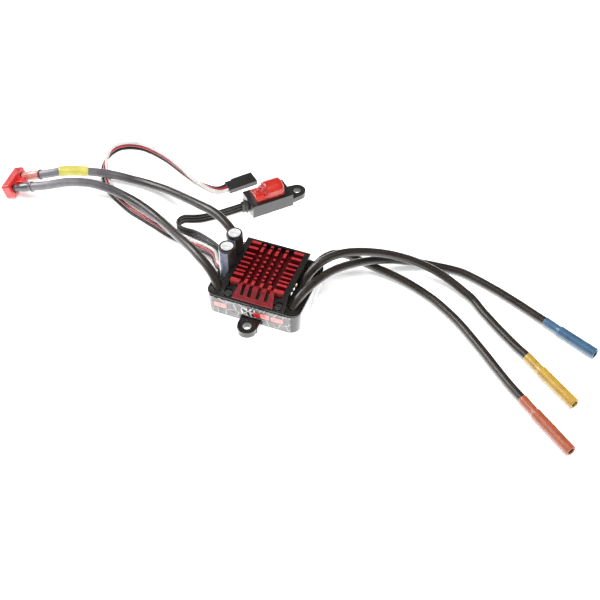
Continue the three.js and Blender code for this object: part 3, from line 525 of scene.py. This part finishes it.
def board_green():
    """Green circuit board with a paler net of tracks."""
    n = Nodes("board_green")
    colour = n.mix(n.cracks(420, 0.04, 0.08), (0.015, 0.07, 0.03), (0.05, 0.17, 0.07))
    return n.finish(colour, n.uneven((0.3, 0.45), 400, 3), n.bump(n.noise(900), 0.01))


# A status lamp's lens with a faint painted glow; the lamps are not switched on.
def lens_with_painted_glow(name, base, lighter):
    return moulded(name, base, lighter, (0.08, 0.2), 0.002, Emission_Strength=0.12,
                   Emission_Color=(*lighter, 1))


BLACK = moulded("black_plastic", (0.006, 0.0055, 0.005), (0.011, 0.010, 0.009), (0.2, 0.34),
                wear=0.35)
SATIN = moulded("satin_black", (0.008, 0.0075, 0.007), (0.015, 0.014, 0.013), (0.3, 0.44),
                0.01, 0.4)
RUBBER = moulded("black_rubber", (0.010, 0.0095, 0.009), (0.02, 0.019, 0.018), (0.42, 0.58), 0.012)
RED_PLUG = moulded("red_nylon", (0.46, 0.014, 0.016), (0.6, 0.035, 0.035), (0.24, 0.4), 0.006)
RED_CAP = moulded("red_gloss", (0.36, 0.013, 0.008), (0.47, 0.028, 0.017), (0.2, 0.34), 0.003)
LEAD = jacket("silicone_black", (0.012, 0.009, 0.007), (0.02, 0.016, 0.013),
              Specular_IOR_Level=0.36)
# The battery leads' grey near the plug is a painted sheen, not the jacket's own colour.
BATTERY_JACKET = sheen_painted_jacket("silicone_painted_sheen")
WHITE_WIRE = jacket("vinyl_white", (0.42, 0.40, 0.39), (0.56, 0.54, 0.53))
RED_WIRE = jacket("vinyl_red", (0.21, 0.008, 0.014), (0.31, 0.016, 0.022))
BLACK_WIRE = jacket("vinyl_black", (0.010, 0.009, 0.0085), (0.018, 0.016, 0.015), (0.4, 0.55),
                    Specular_IOR_Level=0.25)
PINK_SHRINK = shrunk("shrink_pink", (0.58, 0.20, 0.17), (0.72, 0.33, 0.29),
                     Subsurface_Weight=0.25, Subsurface_Scale=0.002)
# The dark maroon of the positive sleeve's end ring is painted shade.
SHADE_RING_SHRINK = shrunk("shrink_maroon_painted_shade", (0.06, 0.012, 0.012), (0.1, 0.02, 0.02))
BLACK_SHRINK = shrunk("shrink_black", (0.05, 0.048, 0.052), (0.085, 0.082, 0.088), (0.2, 0.32))
MARKER = shrunk("shrink_yellow_pale", (0.45, 0.405, 0.07), (0.59, 0.535, 0.14), (0.26, 0.4))
BLUE = shrunk("shrink_blue", (0.022, 0.065, 0.125), (0.042, 0.105, 0.18), (0.34, 0.46))
YELLOW = shrunk("shrink_yellow", (0.31, 0.18, 0.02), (0.44, 0.275, 0.04), (0.34, 0.46))
ORANGE = shrunk("shrink_orange", (0.22, 0.048, 0.018), (0.31, 0.08, 0.034), (0.34, 0.46))
ANODISED = anodised("anodised_red")
GOLD = bare_metal("gold_plate", (0.62, 0.40, 0.13), (0.80, 0.57, 0.24), (0.2, 0.36))
TARNISHED = bare_metal("blade_metal", (0.55, 0.47, 0.34), (0.78, 0.70, 0.54), (0.12, 0.24))
SCREW = bare_metal("screw_steel", (0.018, 0.018, 0.018), (0.04, 0.04, 0.04), (0.4, 0.55), 0.3)
CAN = can_top()
CAN_SLEEVE = can_sleeve()
LABEL = label_film()
BOARD = board_green()
CHIP = moulded("chip_epoxy", (0.012, 0.012, 0.012), (0.024, 0.024, 0.024), (0.4, 0.6), 0.01)
PAD = moulded("pad_grey", (0.22, 0.24, 0.28), (0.3, 0.32, 0.36), (0.7, 0.9), 0.02)
LAMPS = [
    lens_with_painted_glow("lens_0", (0.66, 0.64, 0.36), (0.8, 0.78, 0.48)),
    lens_with_painted_glow("lens_1", (0.8, 0.8, 0.76), (0.9, 0.9, 0.87)),
    lens_with_painted_glow("lens_2", (0.84, 0.84, 0.82), (0.92, 0.92, 0.9)),
]


# ---------- making pieces ----------
WELD = 1e-6  # vertices nearer than this, in metres, are one
FLAT_ANGLE = 1  # faces that turn less than this, in degrees, are one
SLEEVE_CREASE = 60


def place(name, mesh, material, body=ROOT, stands_for=(), spot=None):
    """A visible piece on a body, shown in place of the CAD nodes it stands for."""
    piece = bpy.data.objects.new(name, mesh)
    scene.collection.objects.link(piece)
    mesh.materials.append(material)
    if spot is not None:
        piece.location = spot
    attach(piece, body)
    if stands_for:
        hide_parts(*stands_for)
    return piece


def bare_copy(node):
    """The CAD node's shape, with the triangles of its flat faces joined up."""
    source = nodes[node].data
    shape = bmesh.new()
    spots = [shape.verts.new(vertex.co) for vertex in source.vertices]
    for polygon in source.polygons:
        shape.faces.new([spots[i] for i in polygon.vertices])
    bmesh.ops.remove_doubles(shape, verts=shape.verts, dist=WELD)
    bmesh.ops.dissolve_limit(shape, angle_limit=math.radians(FLAT_ANGLE), verts=shape.verts,
                             edges=shape.edges)
    return shape


def smoothed(mesh):
    for polygon in mesh.polygons:
        polygon.use_smooth = True
    return mesh


def mesh_of(shape, name):
    """The finished mesh of a bmesh, smooth shaded and with its faces turned outwards."""
    bmesh.ops.recalc_face_normals(shape, faces=shape.faces)
    mesh = bpy.data.meshes.new(name)
    shape.to_mesh(mesh)
    shape.free()
    return smoothed(mesh)


def box_mesh(low, high):
    """A box between two corners in millimetres, for cutting or joining."""
    low, high = [value * MM for value in low], [value * MM for value in high]
    shape = bmesh.new()
    bmesh.ops.create_cube(shape, size=1)
    size = Vector(high) - Vector(low)
    for vertex in shape.verts:
        vertex.co = [low[i] + (vertex.co[i] + 0.5) * size[i] for i in range(3)]
    mesh = bpy.data.meshes.new("tool")
    shape.to_mesh(mesh)
    shape.free()
    return mesh


def carve(name, mesh, tools, operation="DIFFERENCE"):
    """The mesh with the tool meshes cut out of it, or joined to it."""
    whole = bpy.data.objects.new("whole", mesh)
    scene.collection.objects.link(whole)
    cutters = []
    for tool in tools:
        cutter = bpy.data.objects.new("cutter", tool)
        scene.collection.objects.link(cutter)
        cutters.append(cutter)
        cut = whole.modifiers.new("cut", "BOOLEAN")
        cut.object = cutter
        cut.operation = operation
        cut.solver = "EXACT"
    bpy.context.view_layer.update()
    carved = whole.evaluated_get(bpy.context.evaluated_depsgraph_get())
    made = bpy.data.meshes.new_from_object(carved)
    for extra in [whole, *cutters]:
        bpy.data.objects.remove(extra)
    made.materials.clear()
    made.name = name
    return made


def soften(piece, width, segments, angle):
    """Rounded edges, with flat faces kept flat; the width is in millimetres."""
    edge = piece.modifiers.new("edge", "BEVEL")
    edge.width = width * MM
    edge.segments = segments
    edge.limit_method = "ANGLE"
    edge.angle_limit = math.radians(angle)
    edge.use_clamp_overlap = True
    normals = piece.modifiers.new("normals", "WEIGHTED_NORMAL")
    normals.keep_sharp = True
    return piece


def refined(node, name, material, width, segments=2, angle=32):
    """A CAD node's own shape with its edges rounded, in its place."""
    mesh = mesh_of(bare_copy(node), name)
    return soften(place(name, mesh, material, stands_for=[node]), width, segments, angle)


def frames_along(line):
    """The distance run, a point and two sides for each point of the line, with no twist."""
    last = len(line) - 1
    ahead = [(line[min(i + 1, last)] - line[max(i - 1, 0)]).normalized() for i in range(last + 1)]
    side = ahead[0].orthogonal().normalized()
    run = 0.0
    made = []
    for i, spot in enumerate(line):
        side = (side - ahead[i] * side.dot(ahead[i])).normalized()
        if i:
            run += (spot - line[i - 1]).length
        made.append((run, spot, side.copy(), ahead[i].cross(side)))
    return made


def close_rings(shape, rings, around):
    """Joins rings of vertices with faces, closing each ring on itself, and caps both ends."""
    for first, second in zip(rings, rings[1:]):
        for j in range(around):
            k = (j + 1) % around
            shape.faces.new((first[j], first[k], second[k], second[j]))
    for ring in (rings[0], rings[-1]):
        shape.faces.new(ring)


TUBE_SIDES = 40
RUFFLE_SCALE = 420  # waves per metre of the wrinkles, roughly
RUFFLE_REACH = 0.004  # how far off the line the wrinkles are read, in metres


def skin(name, line, profile, sides=TUBE_SIDES, wrinkle=0.0, seed=0.0):
    """A tube round a line in metres.

    profile lists (distance along, radius) in millimetres, and may turn back inside. wrinkle is
    the wrinkles' height in millimetres, and seed moves them.
    """
    frames = frames_along(line)
    shape = bmesh.new()
    rings = []
    for along, radius in profile:
        run = min(max(along * MM, frames[0][0]), frames[-1][0])
        k = max(i for i, f in enumerate(frames) if f[0] <= run + 1e-12)
        k = min(k, len(frames) - 2)
        share = (run - frames[k][0]) / max(frames[k + 1][0] - frames[k][0], 1e-9)
        spot = frames[k][1].lerp(frames[k + 1][1], share)
        u = frames[k][2].lerp(frames[k + 1][2], share).normalized()
        v = frames[k][3].lerp(frames[k + 1][3], share).normalized()
        ring = []
        for j in range(sides):
            turn = 2 * math.pi * j / sides
            out = u * math.cos(turn) + v * math.sin(turn)
            read_at = (spot + out * RUFFLE_REACH) * RUFFLE_SCALE + Vector((seed, seed, seed))
            ruffle = wrinkle * MM * noise.noise(read_at)
            ring.append(shape.verts.new(spot + out * (radius * MM + ruffle)))
        rings.append(ring)
    close_rings(shape, rings, sides)
    return mesh_of(shape, name)


def crease(mesh, angle=40):
    """The mesh with its edges sharper than the angle, in degrees, kept sharp."""
    mesh.set_sharp_from_angle(angle=math.radians(angle))
    return mesh


# ---------- leads ----------
def add_cord(name, points, width, material, node, lead_out, lead_in=0.0):
    """A lead as one smooth curve. lead_out runs on into the connector, lead_in into the case."""
    line = smooth_line(metres(points))
    first = line[0] + (line[0] - line[1]).normalized() * lead_in * MM
    last = line[-1] + (line[-1] - line[-2]).normalized() * lead_out * MM
    line = ([first] if lead_in else []) + line + [last]
    data = bpy.data.curves.new(name, "CURVE")
    data.dimensions = "3D"
    data.bevel_depth = width * MM / 2
    data.bevel_resolution = 7
    data.use_fill_caps = True
    data.twist_mode = "MINIMUM"
    spline = data.splines.new("POLY")
    spline.points.add(len(line) - 1)
    for point, spot in zip(spline.points, line):
        point.co = (*spot, 1)
    spline.use_smooth = True
    data.materials.append(material)
    piece = bpy.data.objects.new(name, data)
    scene.collection.objects.link(piece)
    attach(piece, ROOT)
    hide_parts(node)
    return piece


battery_cords = {
    pole: add_cord(f"battery_cord_{pole}", route, BATTERY_LEAD, BATTERY_JACKET,
                   f"battery_lead_{pole}", lead_out=3)
    for pole, route in (("positive", BATTERY_POSITIVE), ("negative", BATTERY_NEGATIVE))
}
motor_cords = {
    spot: add_cord(f"motor_cord_{spot}", route, MOTOR_LEAD, LEAD,
                   f"motor_lead_{spot}", lead_out=2.5)
    for spot, route in MOTOR_ROUTES.items()
}
receiver_cords = {
    colour: add_cord(f"receiver_cord_{colour}", RECEIVER_ROUTES[colour], SIGNAL_WIRE, material,
                     f"receiver_wire_{colour}", lead_out=0.5, lead_in=0.5)
    for colour, material, slot in (("white", WHITE_WIRE, "white_wire"),
                                   ("red", RED_WIRE, "red_wire"),
                                   ("black", BLACK_WIRE, "black_lead"))
}
switch_cords = {
    row: add_cord(f"switch_cord_{row}", route, SIGNAL_WIRE, BLACK_WIRE,
                  f"switch_wire_{row}", lead_out=0.5, lead_in=0.5)
    for row, route in SWITCH_ROUTES.items()
}

# ---------- case ----------
refined("case_tub", "tub_moulding", BLACK, 0.3, 3, angle=24)
refined("top_cover", "cover_moulding", BLACK, 0.28, 3, angle=24)
for side in ("left", "right"):
    refined(f"cover_screw_{side}", f"screw_{side}", SCREW, 0.12)
refined("front_label", "label_sheet", LABEL, 0.05, 1)
for k, material in enumerate(LAMPS, 1):
    refined(f"status_led_{k}", f"lamp_{k}", material, 0.28, 4)
refined("signal_grommet", "grommet_signal", RUBBER, 0.25, 3)
refined("heatsink", "heatsink_anodised", ANODISED, 0.13)

# ---------- capacitors ----------
CAPACITORS = {"front": (-18.4, -2.5), "rear": (-18.6, 7.0)}
CAN_SIDES = 56
# Outlines of the can and its sleeve: radius and height in millimetres.
CAN_OUTLINE = [
    (0.05, 9.2), (3.4, 9.2), (3.42, 28.3), (3.34, 28.8), (3.2, 29.02), (3.0, 29.08), (2.86, 29.0),
    (1.2, 29.0), (0.02, 29.0),
]
WRAP_OUTLINE = [
    (3.55, 9.1), (4.0, 9.1), (4.02, 10.8), (3.86, 11.5), (3.86, 11.9), (4.03, 12.6), (4.04, 20),
    (4.04, 27.6), (4.02, 28.2), (3.94, 28.7), (3.8, 29.08), (3.58, 29.3), (3.32, 29.38),
    (3.1, 29.34), (2.98, 29.2), (3.0, 29.1), (3.3, 29.1), (3.46, 28.9), (3.5, 28.3), (3.5, 20),
    (3.5, 9.2),
]
# The two crossed scores in the can's top.
SCORE_REACH, SCORE_HALF, SCORE_FLOOR, SCORE_TOP = 2.1, 0.11, 28.86, 30
SCORE_TURN = 20


def lathe(name, outline, wrinkle=0.0):
    """A turned mesh about its own Z axis, from (radius, height) in millimetres."""
    low = min(z for _, z in outline)
    high = max(z for _, z in outline)
    line = [Vector((0, 0, low * MM)), Vector((0, 0, high * MM))]
    return skin(name, line, [(z - low, radius) for radius, z in outline], CAN_SIDES, wrinkle)


def add_capacitor(row, centre):
    """A scored aluminium can and its shrink sleeve, standing at centre."""
    spot = (centre[0] * MM, centre[1] * MM, 0)
    scores = [box_mesh((-x, -y, SCORE_FLOOR), (x, y, SCORE_TOP))
              for x, y in ((SCORE_REACH, SCORE_HALF), (SCORE_HALF, SCORE_REACH))]
    for score in scores:
        score.transform(Matrix.Rotation(math.radians(SCORE_TURN), 4, "Z"))
    name = f"can_{row}"
    tin = carve(name, lathe(name, CAN_OUTLINE), scores)
    place(name, crease(tin), CAN, stands_for=[f"capacitor_{row}"], spot=spot)
    name = f"can_wrap_{row}"
    wrap = lathe(name, WRAP_OUTLINE, 0.02)
    place(name, crease(wrap, SLEEVE_CREASE), CAN_SLEEVE,
          stands_for=[f"capacitor_sleeve_{row}"], spot=spot)


for row, centre in CAPACITORS.items():
    add_capacitor(row, centre)


# ---------- battery plug ----------
def standing_at(spot, turn):
    """The frame of a piece whose own middle is at spot, in millimetres, turned about Z."""
    return Matrix.Translation(Vector(spot) * MM) @ Matrix.Rotation(math.radians(turn), 4, "Z")


# The plug's own X runs back along the leads; it lies with its face dipped to the floor.
PLUG_DIP = Matrix.Rotation(math.radians(-20), 4, "Y")
PLUG = standing_at((-153.5, 23.6, 4.05), 4) @ PLUG_DIP
POLE_OFFSET = 5  # from the plug's middle to each pole
# The sleeve and the ring at its end: distance along and radius in millimetres.
SLEEVE_PROFILE = [
    (0.1, 1.5), (0.05, 1.8), (0.2, 1.95), (1.4, 2.02), (2.8, 2.08), (3.6, 2.3), (4.4, 2.5),
    (6, 2.54), (8.6, 2.52), (10.8, 2.5), (11.1, 2.62), (11.5, 2.68), (11.7, 2.55), (11.72, 2.3),
    (11.3, 2.27), (8, 2.27), (4.4, 2.27), (3, 1.85), (0.4, 1.5),
]
RING_PROFILE = [
    (10.95, 2.5), (11.0, 2.66), (11.2, 2.74), (11.5, 2.74), (11.7, 2.66), (11.75, 2.45),
]

plug_body = refined("battery_plug_body", "plug_moulding", RED_PLUG, 0.4, 3)
for pole, side, material, ring_material, slot in (
        ("positive", 1, PINK_SHRINK, SHADE_RING_SHRINK, "pink_shrink"),
        ("negative", -1, BLACK_SHRINK, BLACK_SHRINK, "black_shrink")):
    refined(f"plug_blade_{pole}", f"blade_{pole}", TARNISHED, 0.15)
    line = [PLUG @ (Vector((x, POLE_OFFSET * side, 0)) * MM) for x in (4.9, 8, 11, 14, 16.7)]
    mesh = skin(f"sleeve_{pole}", line, SLEEVE_PROFILE, wrinkle=0.06, seed=side * 3.1)
    place(f"sleeve_{pole}", crease(mesh, SLEEVE_CREASE), material,
                          stands_for=[f"plug_sleeve_{pole}"])
    # The ring's dark colour on the positive sleeve is painted shade at the sleeve's end.
    ring = skin(f"sleeve_ring_{pole}", line, RING_PROFILE)
    place(f"sleeve_ring_{pole}", crease(ring, SLEEVE_CREASE), ring_material)

# The marker sleeve: its radius swells and sinks a little between two rounded rims.
MARKER_STRETCH = slice(-7, -3)  # the points of the lead that it covers
MARKER_RIM = 0.4
MARKER_STEPS = 24
marker_line = smooth_line(metres(BATTERY_POSITIVE[MARKER_STRETCH]), 10)
marker_long = line_length(marker_line) / MM
marker_step = (marker_long - 2 * MARKER_RIM) / MARKER_STEPS
marker_profile = [
    (0, 2.3), (0, 2.52), (MARKER_RIM, 2.72),
    *((MARKER_RIM + k * marker_step, 2.74 + 0.04 * math.sin(k * 1.9))
      for k in range(1, MARKER_STEPS)),
    (marker_long - MARKER_RIM, 2.72), (marker_long, 2.52), (marker_long, 2.3),
]
marker_mesh = skin("marker_wrap", marker_line, marker_profile, wrinkle=0.09, seed=1.7)
marker = place("marker_wrap", crease(marker_mesh, SLEEVE_CREASE), MARKER,
               stands_for=["wire_marker_sleeve"])

# ---------- bullet connectors ----------
# For each colour: the lead, where the sleeve starts, steps out and ends, its look and its slot.
BULLETS = {
    "blue": ("front", (129.3, 29.2, 2.6), (137, 25.6, 2.65), (155.6, 17.5, 2.7),
             BLUE, "blue_shrink"),
    "yellow": ("middle", (126.7, 4.9, 2.6), (134.6, -1.3, 2.65), (153, -14.8, 2.7),
               YELLOW, "yellow_shrink"),
    "orange": ("rear", (130.4, -19.8, 2.6), (137.9, -25.9, 2.65), (157, -40.5, 2.7),
               ORANGE, "orange_shrink"),
}
BEND_REACH = 1.5  # how far before and after its corner the sleeve bends


def bent_line(mouth, step, tip):
    """Straight from mouth to step and on to tip, with the corner rounded off."""
    mouth, step, tip = metres([mouth, step, tip])
    start = step + (mouth - step).normalized() * BEND_REACH * MM
    end = step + (tip - step).normalized() * BEND_REACH * MM
    corner = [start.lerp(step, k / 6).lerp(step.lerp(end, k / 6), k / 6) for k in range(7)]
    straight = [mouth.lerp(start, k / 4) for k in range(4)]
    return straight + corner + [end.lerp(tip, k / 8) for k in range(1, 9)]


def bullet_profile(neck, full):
    """The sleeve: snug on the lead, stepping out at neck, and turned in at full, its far end."""
    return [
        (0.3, 2.0), (0.05, 2.1), (0.1, 2.2), (0.5, 2.26), (2, 2.24), (4, 2.2), (neck - 1.6, 2.2),
        (neck - 0.6, 2.24), (neck - 0.2, 2.4), (neck + 0.1, 2.6), (neck + 0.5, 2.66),
        (neck + 1.2, 2.6), (neck + 2.2, 2.54), (neck + 5, 2.57), (neck + 9, 2.58),
        (full - 9, 2.57), (full - 4, 2.6), (full - 0.8, 2.58), (full - 0.35, 2.5),
        (full - 0.1, 2.32), (full - 0.02, 2.08), (full - 0.06, 1.82), (full - 0.2, 1.62),
        (full - 0.45, 1.55), (full - 0.7, 1.62), (full - 0.8, 2.1), (full - 14, 2.12),
        (full - 14.2, 0.05),
    ]


def socket_profile(end):
    """The gold socket inside the sleeve, with its bore open at end."""
    return [
        (end - 14, 0.05), (end - 14, 1.9), (end - 13.6, 2.04), (end - 1.4, 2.04),
        (end - 1.1, 1.95), (end - 1.0, 1.75), (end - 1.1, 1.5), (end - 1.4, 1.38),
        (end - 4, 1.4), (end - 10, 1.4), (end - 10, 0.05),
    ]


for colour, (lead_name, mouth, step, tip, material, slot) in BULLETS.items():
    line = bent_line(mouth, step, tip)
    full = line_length(line) / MM
    neck = (Vector(step) - Vector(mouth)).length
    mesh = skin(f"bullet_shrink_{colour}", line, bullet_profile(neck, full), sides=44,
                wrinkle=0.025, seed=full)
    sleeve = place(f"bullet_shrink_{colour}", crease(mesh, SLEEVE_CREASE), material,
                   stands_for=[f"bullet_sleeve_{colour}"])
    axis = metres([step, tip])
    mesh = skin(f"bullet_metal_{colour}", axis, socket_profile(line_length(axis) / MM))
    metal = place(f"bullet_metal_{colour}", crease(mesh), GOLD,
                  stands_for=[f"bullet_socket_{colour}"])

# ---------- receiver plug ----------
servo_plug = refined("servo_plug_housing", "servo_plug_moulding", SATIN, 0.3, 3)

# ---------- switch ----------
switch_box = refined("switch_housing", "switch_moulding", SATIN, 0.35, 3)
switch_floor = refined("switch_base", "switch_floor", SATIN, 0.15)
switch_strain = refined("switch_grommet", "switch_strain", RUBBER, 0.22, 3)
SWITCH = standing_at((-23.9, 60.85, 0), 47)
CAP_FOOT = 7.5


def arched_block(x0, x1, half, shoulder, top, curve):
    """A block along X with upright sides, an arched top and ends rounded by curve.

    It stands on CAP_FOOT, is half wide on each side, and arches from shoulder to top.
    """
    turns = [math.radians(15 * k) for k in range(7)]
    stations = [(x0 + curve * (1 - math.cos(t)), curve * (1 - math.sin(t))) for t in turns]
    stations += [(x0 + x1 - x, inset) for x, inset in reversed(stations)]
    arch = [math.pi * k / 24 for k in range(25)]
    shape = bmesh.new()
    rings = []
    for x, inset in stations:
        wide = half - inset
        outline = [(wide, CAP_FOOT), *(
            (wide * math.cos(t), shoulder - inset + (top - shoulder) * math.sin(t)) for t in arch),
            (-wide, CAP_FOOT)]
        rings.append([shape.verts.new((x * MM, y * MM, z * MM)) for y, z in outline])
    close_rings(shape, rings, len(rings[0]))
    return mesh_of(shape, "block")


# The slide cap: a tall thumb block, two steps down, a small ridge and the stem into the box.
cap = carve("switch_thumb", arched_block(-2.2, 7.6, 4.9, 10.6, 14.2, 1.1), [
    arched_block(-3.4, 0, 4.7, 9.4, 12.3, 0.35), arched_block(-8.1, -2, 4.7, 8.6, 10.2, 0.5),
    arched_block(-7.2, -4.2, 1.7, 10.2, 11, 0.4), box_mesh((-2, -1.5, 4.9), (2, 1.5, 8)),
], "UNION")
cap.transform(SWITCH)
place("switch_thumb", crease(smoothed(cap), 35), RED_CAP, SLIDER,
      ["switch_cap"])

# ---------- CAD nodes that stay, with real finishes ----------
STAYING = {
    "thermal_pad": PAD, "power_board": BOARD, "control_board": BOARD, "microcontroller": CHIP,
    "board_header": CHIP, "switch_wiper": GOLD, "servo_contact_ground": GOLD,
    "servo_contact_power": GOLD, "servo_contact_signal": GOLD,
    **{f"mosfet_{k}": CHIP for k in range(1, 7)},
}
for node, material in STAYING.items():
    data = nodes[node].data
    data.materials.clear()
    data.materials.append(material)


# ---------- the leads' lengths, worked out and not kept ---
def declare(points):
    """Works out the length of a lead's smooth line; the result is not kept."""
    line = metres(points)
    line_length(smooth_line(line))


declare(BATTERY_POSITIVE)
declare(BATTERY_NEGATIVE)
for lead_name, route in MOTOR_ROUTES.items():
    declare(route)
for colour, pieces in (("white", [servo_plug, nodes["servo_contact_signal"]]),
                       ("red", [nodes["servo_contact_power"]]),
                       ("black", [nodes["servo_contact_ground"]])):
    declare(RECEIVER_ROUTES[colour])
for row, piece in (("top", switch_box), ("middle", switch_strain), ("bottom", switch_floor)):
    declare(SWITCH_ROUTES[row])

# ---------- floor and light ----------
FLOOR_REACH = 3.0
FLOOR_DROP = 0.05 * MM  # keeps the floor's face clear of the parts that lie on it
FLOOR_GLOW = 0.38
SKY_GLOW = 0.22
WHITE = (1, 1, 1, 1)

floor_mesh = bpy.data.meshes.new("floor")
floor_mesh.from_pydata([(x * FLOOR_REACH, y * FLOOR_REACH, 0)
                        for x, y in ((-1, -1), (1, -1), (1, 1), (-1, 1))], [], [(0, 1, 2, 3)])
floor = bpy.data.objects.new("floor", floor_mesh)
scene.collection.objects.link(floor)
floor_look = Nodes("floor_pale")
floor_mesh.materials.append(floor_look.finish(
    floor_look.mix(floor_look.noise(2), (0.9, 0.9, 0.89), (0.93, 0.93, 0.925)),
    floor_look.uneven((0.75, 0.85), 3, 3), Emission_Color=WHITE, Emission_Strength=FLOOR_GLOW))
floor.location = (0, 0, -FLOOR_DROP)

world = bpy.data.worlds.new("studio")
world.use_nodes = True
background = world.node_tree.nodes["Background"]
background.inputs["Color"].default_value = WHITE
background.inputs["Strength"].default_value = SKY_GLOW
scene.world = world
scene.view_settings.view_transform = "Standard"
add_area("key", (0.15, -0.25, 1.0), (0, 0, 0), size=0.7, power=20, glossy=False)
add_area("sheen", (-0.8, 0.1, 0.6), (0, 0, 0), size=0.6, power=18, diffuse=False)
# The glow lies on the floor and faces up; only reflections see it.
add_area("glow", (0, 0, 0.00002), (0, 0, 1), size=1.6, power=18, diffuse=False)
